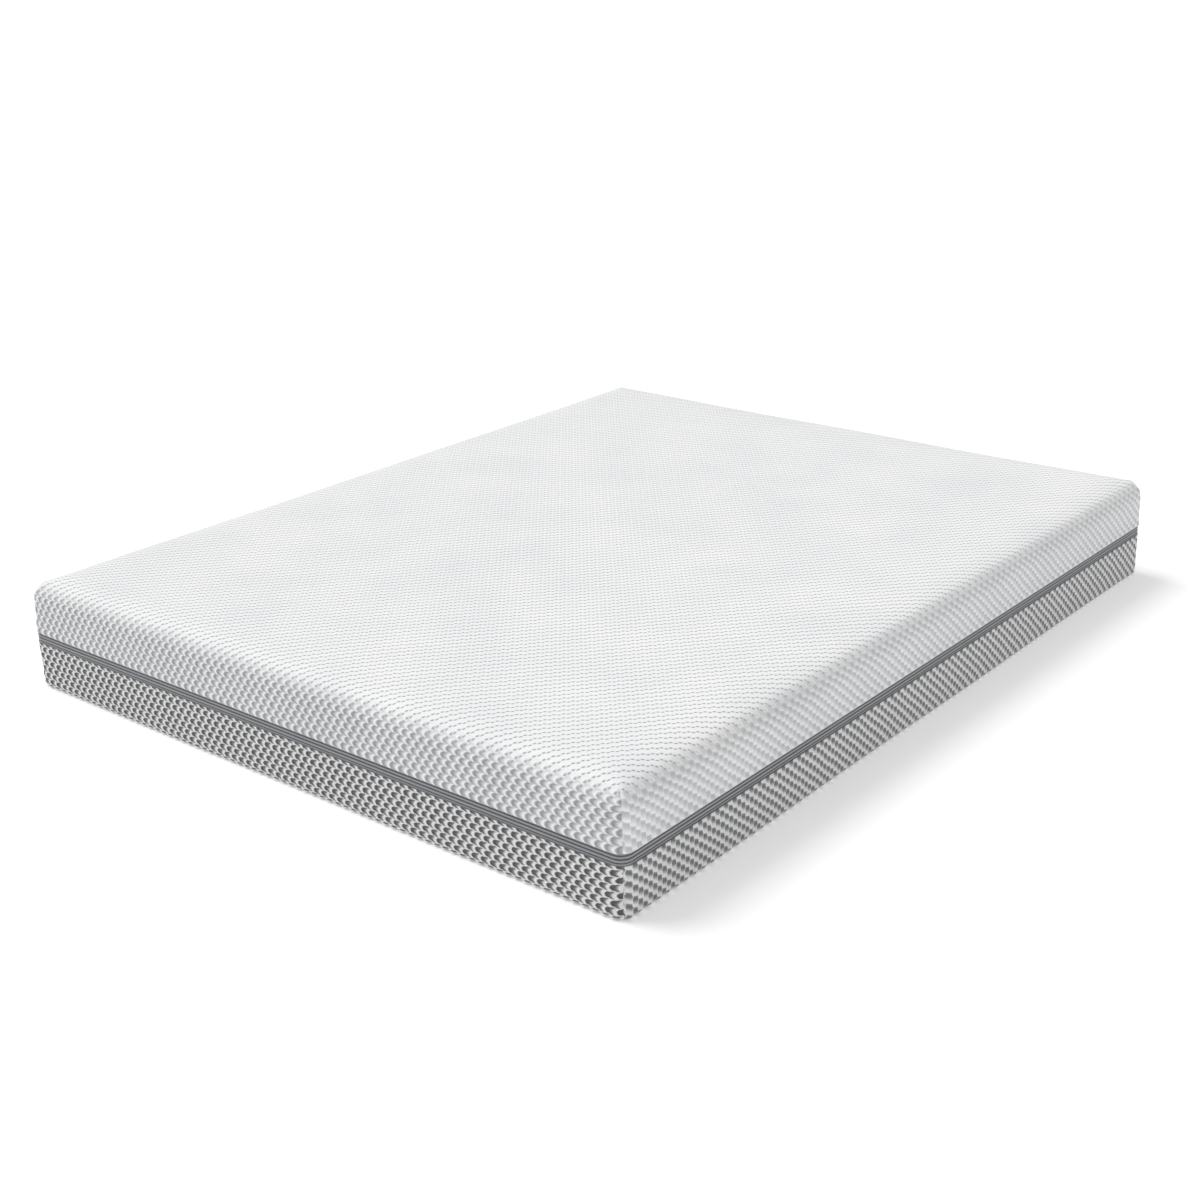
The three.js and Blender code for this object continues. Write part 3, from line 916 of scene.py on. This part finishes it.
lower_low = (-width / 2 + lower_slack, -length / 2 + lower_slack, 0.0)
lower_high = (width / 2 - lower_slack, length / 2 - lower_slack, lower_hem)
lower_cover = soft_block(
    "lower_cover_knit", lower_low, lower_high, corner_radius, {0.0: turn_under}, cloth_cell,
    open_normals=[-1, 1],
)
finish_editing()
swell(lower_cover, lower_edges, foam_pressure, 1.5 * MM)
thicken(lower_cover, 2.2 * MM, grey_knit)
raise_figure(lower_cover, lower_hem, 1.0 * MM, 1.0 * MM, lower_fold)
unroll(lower_cover)
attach(lower_cover, "lower_cover")
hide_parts("bottom_cover")

# %% [markdown]
# ## Zip tapes
#
# A tape is a woven polyester strip sewn behind each hem, with a thick rib over the coil and a fine
# groove beside it, where it is sewn. Its weave is a herringbone: a wave texture whose lines are slanted
# one way and then the other, drawn at twice its real pitch so that it shows. Across the tape a ramp read
# by height paints light and shade onto its grey: painted shade in the closing line, in the two grooves
# and under both hems, and painted highlights on the ribs. Both tapes share the finish, since they are
# cut from one roll.

# %% Woven polyester for the tapes
tape_weave, tree, shader = new_material("woven_polyester_tape", 0.72, sheen=0.15)
spot = node(tree, "ShaderNodeTexCoord").outputs["Object"]
parts = node(tree, "ShaderNodeSeparateXYZ", {"Vector": spot})
along = node(tree, "ShaderNodeMath", {0: parts.outputs["X"], 1: parts.outputs["Y"]}, operation="ADD")
band = node(
    tree, "ShaderNodeMapRange",
    {"Value": parts.outputs["Z"], "From Min": lower_hem, "From Max": upper_hem},
).outputs["Result"]
# Painted shade in the closing line, the grooves and under both hems; painted highlights on the ribs.
tape_ribs_and_grooves_painted_light = node(tree, "ShaderNodeValToRGB", {"Fac": band})
ramp_stops(tape_ribs_and_grooves_painted_light, [
    (0.0, colour("808184")), (0.06, colour("A6A7AA")), (0.13, colour("9C9DA0")), (0.17, colour("5A5B5D")),
    (0.22, colour("5A5B5D")), (0.26, colour("8E8F92")), (0.34, colour("A8A9AC")), (0.46, colour("74757A")),
    (0.5, colour("46474A")), (0.54, colour("74757A")), (0.66, colour("A8A9AC")), (0.75, colour("74757A")),
    (0.79, colour("505154")), (0.84, colour("8A8B8E")), (0.95, colour("7C7D80")), (1.0, colour("5A5B5D")),
])
herringbone_width = 4 * MM
zigzag = node(
    tree, "ShaderNodeMath", {0: parts.outputs["Z"], 1: herringbone_width / 2}, operation="PINGPONG",
)
slanted = node(tree, "ShaderNodeMath", {0: along.outputs[0], 1: zigzag.outputs[0]}, operation="ADD")
ends = node(tree, "ShaderNodeCombineXYZ", {"X": slanted.outputs[0], "Y": parts.outputs["Z"]})
yarn_pitch = 1.2 * MM
weave = node(
    tree, "ShaderNodeTexWave",
    {"Vector": ends.outputs[0], "Scale": 1 / (20 * yarn_pitch) * 2 * math.pi / 2},
)
weft = node(tree, "ShaderNodeValToRGB", {"Fac": weave.outputs["Fac"]})
ramp_stops(weft, [(0.0, colour("D4D4D4")), (1.0, colour("FFFFFF"))])
woven_tape_with_painted_light = node(
    tree, "ShaderNodeMix", {0: 1.0, 6: tape_ribs_and_grooves_painted_light.outputs["Color"], 7: weft.outputs["Color"]},
    data_type="RGBA", blend_type="MULTIPLY",
)
threads = node(tree, "ShaderNodeBump", {"Height": weave.outputs["Fac"], "Distance": 0.12 * MM})
tree.links.new(threads.outputs["Normal"], shader.inputs["Normal"])
tree.links.new(woven_tape_with_painted_light.outputs[2], shader.inputs["Base Color"])
print("tape weave has", len(tree.nodes), "nodes")

# %% [markdown]
# ## Once round the mattress
#
# A tape runs along four sides and round four corners, and stops short of closing where the zip starts
# and ends, on the far short side. Its cross-section is drawn once and carried round: pushed out along
# each side and spun round each corner. A curve with a bevel object would also do it, but its corners are
# harder to keep at an exact radius.

# %% Carry a cross-section round the mattress
corner_x = width / 2 - corner_radius
corner_y = length / 2 - corner_radius
zip_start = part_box("zip_insert_pin")[1].x + 0.3 * MM
zip_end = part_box("upper_end_stop")[1].x


def band_round(name, section):
    """Carries a closed section of (inset, height) points from the zip's start to its end."""
    bpy.ops.object.select_all(action="DESELECT")
    bpy.ops.mesh.primitive_circle_add(vertices=len(section), radius=1 * MM, fill_type="NOTHING")
    piece = bpy.context.object
    piece.name = name
    piece.data.name = name
    for vertex, (inset, level) in zip(piece.data.vertices, section):
        vertex.co = (zip_start, length / 2 - inset, level)
    bpy.ops.object.mode_set(mode="EDIT")
    bpy.ops.mesh.select_mode(type="EDGE")
    bpy.ops.mesh.select_all(action="SELECT")
    legs = [
        ((corner_x - zip_start, 0, 0), (corner_x, corner_y, 0)),
        ((0, -2 * corner_y, 0), (corner_x, -corner_y, 0)),
        ((-2 * corner_x, 0, 0), (-corner_x, -corner_y, 0)),
        ((0, 2 * corner_y, 0), (-corner_x, corner_y, 0)),
        ((corner_x + zip_end, 0, 0), None),
    ]
    for leg, turning_point in legs:
        bpy.ops.mesh.extrude_region_move(TRANSFORM_OT_translate={"value": leg})
        if turning_point:
            bpy.ops.mesh.spin(steps=8, angle=math.pi / 2, center=turning_point, axis=(0, 0, 1))
    bpy.ops.mesh.edge_face_add()
    pick(
        piece, "EDGE",
        lambda a, b: abs(a.x - zip_start) + abs(b.x - zip_start) < 1e-6 and min(a.y, b.y) > 0,
    )
    bpy.ops.mesh.edge_face_add()
    bpy.ops.mesh.select_all(action="SELECT")
    bpy.ops.mesh.remove_doubles(threshold=0.01 * MM)
    bpy.ops.mesh.normals_make_consistent(inside=False)
    finish_editing()
    spans = np.ptp(points_of(piece), axis=0)
    print(name, "spans", [round(float(span), 4) for span in spans])
    return piece


# %% [markdown]
# ## Both tapes
#
# The two tapes mirror each other about the closing line. One list of steps describes the section from
# the closing line outwards: the rounded edge, the rib over the coil, the sewing groove, and the flat
# part that lies behind the hem. The tape could be a flat strip with the ribs in its finish only; the
# band is seen edge on at the corners, so the ribs are real.

# %% Both tapes
tape_face = 4.2 * MM
groove_face = 5.0 * MM
tape_back = 5.5 * MM
upper_tape_low, upper_tape_high = (corner.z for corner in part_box("upper_zip_tape"))
lower_tape_low, lower_tape_high = (corner.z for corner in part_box("lower_zip_tape"))
coil_rib = 5.4 * MM
sewing_groove = 1.0 * MM


def tape_section(edge, far, way):
    steps = [
        (tape_back, 0),
        (tape_face + 0.4 * MM, 0),
        (tape_face, 0.7 * MM),
        (tape_face - 0.2 * MM, coil_rib / 2),
        (tape_face, coil_rib),
        (groove_face, coil_rib + 0.5 * MM),
        (groove_face, coil_rib + sewing_groove),
        (tape_face, coil_rib + sewing_groove + 0.6 * MM),
        (tape_face, abs(far - edge)),
        (tape_back, abs(far - edge)),
    ]
    return [(inset, edge + way * rise) for inset, rise in steps]


tapes = {
    "upper_cover": ("upper_zip_tape", tape_section(upper_tape_low, upper_tape_high, 1)),
    "lower_cover": ("lower_zip_tape", tape_section(lower_tape_high, lower_tape_low, -1)),
}
for body, (cad_name, section) in tapes.items():
    tape = band_round(cad_name + "_woven", section)
    tape.data.materials.append(tape_weave)
    bpy.ops.object.shade_smooth_by_angle(angle=math.radians(35))
    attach(tape, body)
    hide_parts(cad_name)

# %% [markdown]
# ## Coils
#
# The coil is a nylon monofilament wound in close turns. Its turns are too small to model one by one
# round seven metres, so the imported bands stay and the shader gives them their turns: a sine along the
# coil, leaning a little as a helix does, that sets the bump and paints the colour, with painted shade
# between the turns and painted highlights on their tops.

# %% Nylon coil
coil_nylon, tree, shader = new_material("nylon_monofilament_coil", 0.35)
shader.inputs["IOR"].default_value = 1.53
spot = node(tree, "ShaderNodeTexCoord").outputs["Object"]
parts = node(tree, "ShaderNodeSeparateXYZ", {"Vector": spot})
along = node(tree, "ShaderNodeMath", {0: parts.outputs["X"], 1: parts.outputs["Y"]}, operation="ADD")
turn_lean = 0.3
turn_pitch = 1.6 * MM
lean = node(
    tree, "ShaderNodeMath", {0: parts.outputs["Z"], 1: turn_lean, 2: along.outputs[0]},
    operation="MULTIPLY_ADD",
)
angle = node(
    tree, "ShaderNodeMath", {0: lean.outputs[0], 1: 2 * math.pi / turn_pitch}, operation="MULTIPLY",
)
turns = node(tree, "ShaderNodeMath", {0: angle.outputs[0]}, operation="SINE")
height_of_turn = node(
    tree, "ShaderNodeMath", {0: turns.outputs[0], 1: 0.5, 2: 0.5}, operation="MULTIPLY_ADD",
)
# Painted shade between the turns and painted highlights on their tops.
coil_turns_painted_shade = node(tree, "ShaderNodeValToRGB", {"Fac": height_of_turn.outputs[0]})
ramp_stops(coil_turns_painted_shade, [(0.0, colour("4A4B4D")), (0.5, colour("8A8B8E")), (1.0, colour("A6A7AA"))])
rounded = node(tree, "ShaderNodeBump", {"Height": height_of_turn.outputs[0], "Distance": 0.5 * MM})
tree.links.new(rounded.outputs["Normal"], shader.inputs["Normal"])
tree.links.new(coil_turns_painted_shade.outputs["Color"], shader.inputs["Base Color"])
for cad_name in ("upper_zip_coil", "lower_zip_coil"):
    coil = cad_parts[cad_name]
    coil.data.materials.clear()
    coil.data.materials.append(coil_nylon)
    print(coil.name, "has turns every", round(turn_pitch / MM, 1), "mm")

# %% [markdown]
# ## Nickel-plated zinc
#
# The slider and its small companions are cast in zinc, tumbled and nickel plated, so they are neither
# mirrors nor matt. One fine noise changes the shade, the roughness and the surface a little together, as
# tumbling does. A plain metal with one roughness would look too clean.

# %% Nickel-plated zinc
zip_metal, tree, shader = new_material("nickel_plated_zinc_casting", 0.32, metallic=1.0)
spot = node(tree, "ShaderNodeTexCoord").outputs["Object"]
tumbled = node(tree, "ShaderNodeTexNoise", {"Vector": spot, "Scale": 900.0, "Detail": 4.0})
plating = node(tree, "ShaderNodeValToRGB", {"Fac": tumbled.outputs["Fac"]})
ramp_stops(plating, [(0.3, colour("A9A8A4")), (0.7, colour("C9C8C4"))])
wear = node(
    tree, "ShaderNodeMapRange", {"Value": tumbled.outputs["Fac"], "To Min": 0.24, "To Max": 0.42},
)
casting = node(tree, "ShaderNodeBump", {"Height": tumbled.outputs["Fac"], "Distance": 0.03 * MM})
tree.links.new(plating.outputs["Color"], shader.inputs["Base Color"])
tree.links.new(wear.outputs["Result"], shader.inputs["Roughness"])
tree.links.new(casting.outputs["Normal"], shader.inputs["Normal"])
print("zip metal has", len(tree.nodes), "nodes")


# %% [markdown]
# ## Slider, pull, stops, pin and box
#
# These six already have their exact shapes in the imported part, and they must fit each other, so
# modelling them again would only add errors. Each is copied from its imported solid, its doubled corners
# are merged, and a narrow bevel takes the sharpness off, as tumbling does to a real casting.

# %% Small castings
def casting_of(cad_name, name, edge_radius):
    bpy.ops.object.select_all(action="DESELECT")
    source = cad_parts[cad_name]
    piece = bpy.data.objects.new(name, source.data.copy())
    piece.data.name = name
    bpy.context.collection.objects.link(piece)
    bpy.context.view_layer.objects.active = piece
    piece.select_set(True)
    bpy.ops.object.mode_set(mode="EDIT")
    bpy.ops.mesh.select_all(action="SELECT")
    bpy.ops.mesh.remove_doubles(threshold=0.005 * MM)
    bpy.ops.mesh.tris_convert_to_quads()
    bpy.ops.mesh.dissolve_limited(angle_limit=math.radians(1))
    finish_editing()
    apply_modifier(
        piece, "BEVEL", width=edge_radius, segments=3, limit_method="ANGLE", use_clamp_overlap=True,
    )
    piece.data.materials.clear()
    piece.data.materials.append(zip_metal)
    bpy.ops.object.shade_smooth_by_angle(angle=math.radians(40))
    print(name, len(piece.data.polygons), "faces")
    return piece


castings = {
    "zip_slider": ("slider", 0.3 * MM),
    "zip_pull": ("pull", 0.3 * MM),
    "upper_end_stop": ("upper_cover", 0.3 * MM),
    "lower_end_stop": ("lower_cover", 0.3 * MM),
    "zip_insert_pin": ("upper_cover", 0.25 * MM),
    "zip_retainer_box": ("lower_cover", 0.2 * MM),
}
for cad_name, (body, edge_radius) in castings.items():
    piece = casting_of(cad_name, cad_name + "_casting", edge_radius)
    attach(piece, body)
    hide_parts(cad_name)

# %% [markdown]
# ## Liner
#
# Under the cover the foam wears a stocking of thin white jersey, matt and soft. Its fine ribs are a sine
# of the place along the wall, which gives even wales without a map; the sine sets the bump and also
# paints shade into the grooves between the wales. Real ones are under a millimetre apart; these are
# drawn at 2.4 mm, so that they show. On the top they run slantwise.

# %% Jersey
jersey, tree, shader = new_material("cotton_jersey_stocking", 0.88, sheen=0.1)
spot = node(tree, "ShaderNodeTexCoord").outputs["Object"]
parts = node(tree, "ShaderNodeSeparateXYZ", {"Vector": spot})
along = node(tree, "ShaderNodeMath", {0: parts.outputs["X"], 1: parts.outputs["Y"]}, operation="ADD")
wale_pitch = 2.4 * MM
wale_place = node(
    tree, "ShaderNodeMath", {0: along.outputs[0], 1: 2 * math.pi / wale_pitch}, operation="MULTIPLY",
)
wale = node(tree, "ShaderNodeMath", {0: wale_place.outputs[0]}, operation="SINE")
wale_shade = node(
    tree, "ShaderNodeMapRange", {"Value": wale.outputs[0], "From Min": -1.0, "From Max": 1.0},
)
# Painted shade in the grooves between the wales.
jersey_wales_painted_shade = node(tree, "ShaderNodeValToRGB", {"Fac": wale_shade.outputs["Result"]})
ramp_stops(jersey_wales_painted_shade, [(0.0, colour("D9D9D6")), (0.6, colour("F1F1EF"))])
tree.links.new(jersey_wales_painted_shade.outputs["Color"], shader.inputs["Base Color"])
ribbed = node(tree, "ShaderNodeBump", {"Height": wale.outputs[0], "Distance": 0.15 * MM})
tree.links.new(ribbed.outputs["Normal"], shader.inputs["Normal"])
print("jersey has", len(tree.nodes), "nodes")

# %% [markdown]
# The stocking is turned under with a wide mouth below, so the cover slides on easily and the foam isn't
# handled. It is a soft block with its bottom opened; the opening's edge is then carried inwards over the
# underside, and the skin gets its 1 mm. It fits its foam without slack, so no cloth simulation is
# needed.

# %% Liner
liner_low, liner_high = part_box("inner_liner")
liner_inset = width / 2 - liner_high.x
liner_corner = corner_radius - liner_inset
liner_rims = {liner_high.z: liner_corner, liner_low.z: 4 * MM}
liner = soft_block(
    "inner_liner_jersey", liner_low, liner_high, liner_corner, liner_rims, 60 * MM, open_normals=[-1],
)
pick(liner, "EDGE", lambda a, b: max(a.z, b.z) < liner_low.z + 0.01 * MM)
mouth = 160 * MM
rim_inset = liner_inset + 4 * MM
mouth_scale = (
    (width / 2 - mouth) / (width / 2 - rim_inset), (length / 2 - mouth) / (length / 2 - rim_inset), 1,
)
bpy.ops.mesh.extrude_region_move(TRANSFORM_OT_translate={"value": (0, 0, 0)})
bpy.ops.transform.resize(value=mouth_scale, center_override=(0, 0, liner_low.z))
bpy.ops.mesh.select_all(action="SELECT")
bpy.ops.mesh.normals_make_consistent(inside=False)
finish_editing()
liner_rim = rim_radius - 8 * MM
flat_points = points_of(liner)
widen_rim(liner, liner_inset, liner_low.z + 5 * MM, liner_high.z, liner_rim, liner_corner - 0.4 * MM)
shaped = points_of(liner)
underside = flat_points[:, 2] < liner_low.z + 5 * MM
shaped[underside] = flat_points[underside]
put_points(liner, shaped)
apply_modifier(liner, "SOLIDIFY", thickness=1 * MM, offset=-1)
bpy.ops.object.shade_smooth_by_angle(angle=math.radians(40))
liner.data.materials.append(jersey)
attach(liner, "foam_core")
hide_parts("inner_liner")

# %% [markdown]
# ## Foam layers
#
# Three foams are glued in a stack: slow memory foam on top, a quicker transition layer, and a firm
# support core whose underside is slotted in seven zones. Cut foam has an open, slightly torn cell face,
# quite matt; the cells differ in size and the foams in tint, so one function makes the three finishes
# from a tint and a cell size. Each cell is painted darker towards its hollow middle, as shade in the
# pore, and a large noise mottles the tint. Real cells are under a millimetre wide; these are 1.2 to 2 mm,
# as coarse as they need to be to show.

# %% Open-cell foam
def foam_finish(name, light, dark, cell):
    material, tree, shader = new_material(name, 0.92, sheen=0.05)
    spot = node(tree, "ShaderNodeTexCoord").outputs["Object"]
    cells = node(tree, "ShaderNodeTexVoronoi", {"Vector": spot, "Scale": 1 / cell})
    skin = node(tree, "ShaderNodeTexNoise", {"Vector": spot, "Scale": 9.0, "Detail": 5.0})
    # Painted shade: each cell darker towards its hollow middle.
    pore_painted_shade = node(
        tree, "ShaderNodeMath", {0: cells.outputs["Distance"], 1: 0.55}, operation="MULTIPLY",
    )
    mottled = node(
        tree, "ShaderNodeMath", {0: skin.outputs["Fac"], 1: 0.45, 2: pore_painted_shade.outputs[0]},
        operation="MULTIPLY_ADD",
    )
    tint = node(tree, "ShaderNodeValToRGB", {"Fac": mottled.outputs[0]})
    ramp_stops(tint, [(0.15, colour(dark)), (0.6, colour(light))])
    pores = node(
        tree, "ShaderNodeBump", {"Height": cells.outputs["Distance"], "Distance": cell * 0.4},
    )
    tree.links.new(tint.outputs["Color"], shader.inputs["Base Color"])
    tree.links.new(pores.outputs["Normal"], shader.inputs["Normal"])
    return material


# %% [markdown]
# ## Three slabs
#
# The slabs share their outline, since the stack is glued and then cut in one go. Each is a block with
# round corners. Only the memory foam has the wide soft rim; the other two keep nearly sharp edges,
# because a layer lies on them. They could be one block with three materials, but then no layer could be
# taken out.

# %% Three slabs
foams = {
    "memory_foam": ("viscoelastic_polyurethane_foam", "F3EFE4", "DDD6C4", 1.2 * MM),
    "transition_foam": ("high_resilience_foam", "E6EAEC", "C6CDD1", 1.6 * MM),
    "support_core": ("firm_polyurethane_foam", "F4F3EF", "D9D7CE", 2.0 * MM),
}
liner_gap = 1.3 * MM
foam_corner = liner_corner - liner_gap
foam_slabs = {}
for cad_name, (finish, light, dark, cell) in foams.items():
    slab_low, slab_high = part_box(cad_name)
    rims = {slab_high.z: foam_corner} if cad_name == "memory_foam" else {slab_high.z: 1.5 * MM}
    slab_name = cad_name.replace("_core", "_foam") + "_slab"
    slab = soft_block(slab_name, slab_low, slab_high, foam_corner, rims, 2 * length)
    finish_editing()
    if cad_name == "memory_foam":
        slab_inset = width / 2 - slab_high.x
        slab_rim = liner_rim - liner_gap
        widen_rim(slab, slab_inset, slab_low.z, slab_high.z, slab_rim, foam_corner - 0.4 * MM)
    slab.data.materials.append(foam_finish(finish, light, dark, cell))
    foam_slabs[cad_name] = slab
    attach(slab, "foam_core")
    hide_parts(cad_name)
    print(slab.name, "from", round(slab_low.z, 3), "to", round(slab_high.z, 3))

# %% [markdown]
# ## Slots in the support core
#
# Slots across the underside let the core give more under shoulders and hips: more slots, softer foam.
# They are sawn into the real core, and here too they are cut: thin blocks, one for each slot, are joined
# and taken away from the slab with one Boolean. Modelling the comb directly would need every wall to be
# placed by hand.

# %% Slots in the support core
slots_per_zone = [3, 6, 3, 4, 3, 6, 3]
core_low, core_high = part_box("support_core")
zone_length = (core_high.y - core_low.y) / len(slots_per_zone)
slot_width = 6 * MM
slot_depth = 32 * MM
cutters = []
for zone, slots in enumerate(slots_per_zone):
    for slot in range(slots):
        middle = core_low.y + (zone + (slot + 0.5) / slots) * zone_length
        cutter = start_block(
            "slot", (-width, middle - slot_width / 2, core_low.z - 0.02),
            (width, middle + slot_width / 2, core_low.z + slot_depth),
        )
        finish_editing()
        cutters.append(cutter)
bpy.ops.object.select_all(action="DESELECT")
for cutter in cutters:
    cutter.select_set(True)
bpy.context.view_layer.objects.active = cutters[0]
bpy.ops.object.join()
slot_cutter = bpy.context.object
core_slab = foam_slabs["support_core"]
apply_modifier(core_slab, "BOOLEAN", object=slot_cutter, operation="DIFFERENCE", solver="EXACT")
bpy.data.objects.remove(slot_cutter)
for slab in foam_slabs.values():
    bpy.ops.object.select_all(action="DESELECT")
    slab.select_set(True)
    bpy.context.view_layer.objects.active = slab
    bpy.ops.object.shade_smooth_by_angle(angle=math.radians(35))
print("support core has", sum(slots_per_zone), "slots,", len(core_slab.data.polygons), "faces")

# %% [markdown]
# ## Grip fabric
#
# The base panel is a thin warp-knit with small silicone dots that grip the slats. The dots stand in an
# even grid, which a Voronoi texture without randomness gives directly; thousands of little modelled
# drops would weigh far more than they show. The knit between them is drawn coarser than it is, so that
# it shows, and it is painted darker towards the edge of each stitch, as shade between the loops.

# %% Grip fabric
grip_fabric, tree, shader = new_material("dotted_warp_knit", 0.88, sheen=0.05)
spot = node(tree, "ShaderNodeTexCoord").outputs["Object"]
dot_spacing = 14 * MM
dots = node(
    tree, "ShaderNodeTexVoronoi", {"Vector": spot, "Scale": 1 / dot_spacing, "Randomness": 0.0},
    voronoi_dimensions="2D",
)
dot = node(
    tree, "ShaderNodeMapRange",
    {"Value": dots.outputs["Distance"], "From Min": 0.2, "From Max": 0.12},
    interpolation_type="SMOOTHSTEP",
).outputs["Result"]
ground_stitch_size = 2.0 * MM
ground = node(
    tree, "ShaderNodeTexVoronoi", {"Vector": spot, "Scale": 1 / ground_stitch_size, "Randomness": 0.35},
    distance="CHEBYCHEV",
).outputs["Distance"]
# Painted shade: darker towards the edge of each stitch, between the loops.
ground_stitches_painted_shade = node(tree, "ShaderNodeValToRGB", {"Fac": ground})
ramp_stops(ground_stitches_painted_shade, [(0.1, colour("9B9C9F")), (0.6, colour("7C7D80"))])
panel_shade = node(
    tree, "ShaderNodeMix", {0: dot, 6: ground_stitches_painted_shade.outputs["Color"], 7: colour("55565A")},
    data_type="RGBA",
)
finish_cloth(tree, shader, panel_shade.outputs[2], dot, 0.6 * MM, ground, 0.15 * MM)
print("grip fabric has", len(tree.nodes), "nodes")

# %% [markdown]
# ## Base panel
#
# The panel is sewn in where the lower band ends, and lies flat under the core. It is a low block with a
# rounded lower rim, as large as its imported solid. It could be a plane with a thickness, but the block
# gives it the same round corners as its neighbours in one step.

# %% Base panel
panel_low, panel_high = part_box("base_panel")
panel_corner = corner_radius - turn_under
base_panel = soft_block(
    "base_panel_grip", panel_low, panel_high, panel_corner, {panel_low.z: 1.5 * MM}, 2 * length,
)
finish_editing()
bpy.ops.object.shade_smooth_by_angle(angle=math.radians(40))
base_panel.data.materials.append(grip_fabric)
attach(base_panel, "lower_cover")
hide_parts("base_panel")

# %% [markdown]
# ## Satin
#
# The label is woven in a shiny satin: long floating threads that catch the light unevenly. A very fine
# noise stands for them, in the bump and as painted sheen in the colour. A weave drawn thread by thread
# would be lost at this size. Nothing is printed on it.

# %% Satin label
label_satin, tree, shader = new_material("woven_satin_label", 0.45, sheen=0.2)
spot = node(tree, "ShaderNodeTexCoord").outputs["Object"]
floats = node(tree, "ShaderNodeTexNoise", {"Vector": spot, "Scale": 1500.0, "Detail": 2.0})
# Painted sheen of the floating threads.
satin = node(tree, "ShaderNodeValToRGB", {"Fac": floats.outputs["Fac"]})
ramp_stops(satin, [(0.35, colour("E2E2DE")), (0.65, colour("F4F4F1"))])
ridge = node(tree, "ShaderNodeBump", {"Height": floats.outputs["Fac"], "Distance": 0.05 * MM})
tree.links.new(satin.outputs["Color"], shader.inputs["Base Color"])
tree.links.new(ridge.outputs["Normal"], shader.inputs["Normal"])
print("label satin has", len(tree.nodes), "nodes")

# %% [markdown]
# ## Care label
#
# The care label is a small blank strip, caught in the lower hem at the far end, that hangs outside the
# cover. A cloth simulation would let it drop straight down; a real one has been pressed and folded, so
# it stands off a little and waves. That's one curve away from the hem and one wave across, both growing
# towards its free end.

# %% Care label
label_low, label_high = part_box("care_label")
care_label = start_block("care_label_satin", label_low, label_high)
for axis, cuts in ((0, 8), (2, 12)):
    side = label_high[axis] - label_low[axis]
    pick(care_label, "EDGE", lambda a, b: abs(a[axis] - b[axis]) > 0.9 * side)
    bpy.ops.mesh.subdivide(number_cuts=cuts)
finish_editing()
points = points_of(care_label)
fallen = (label_high.z - points[:, 2]) / (label_high.z - label_low.z)
across_label = (points[:, 0] - label_low.x) / (label_high.x - label_low.x)
stand_off = 4 * MM * fallen ** 1.5
wave = 1.2 * MM * np.sin(across_label * 5 + 0.6) * fallen
points[:, 1] += stand_off + wave
put_points(care_label, points)
bpy.ops.object.shade_smooth_by_angle(angle=math.radians(40))
care_label.data.materials.append(label_satin)
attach(care_label, "lower_cover")
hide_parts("care_label")
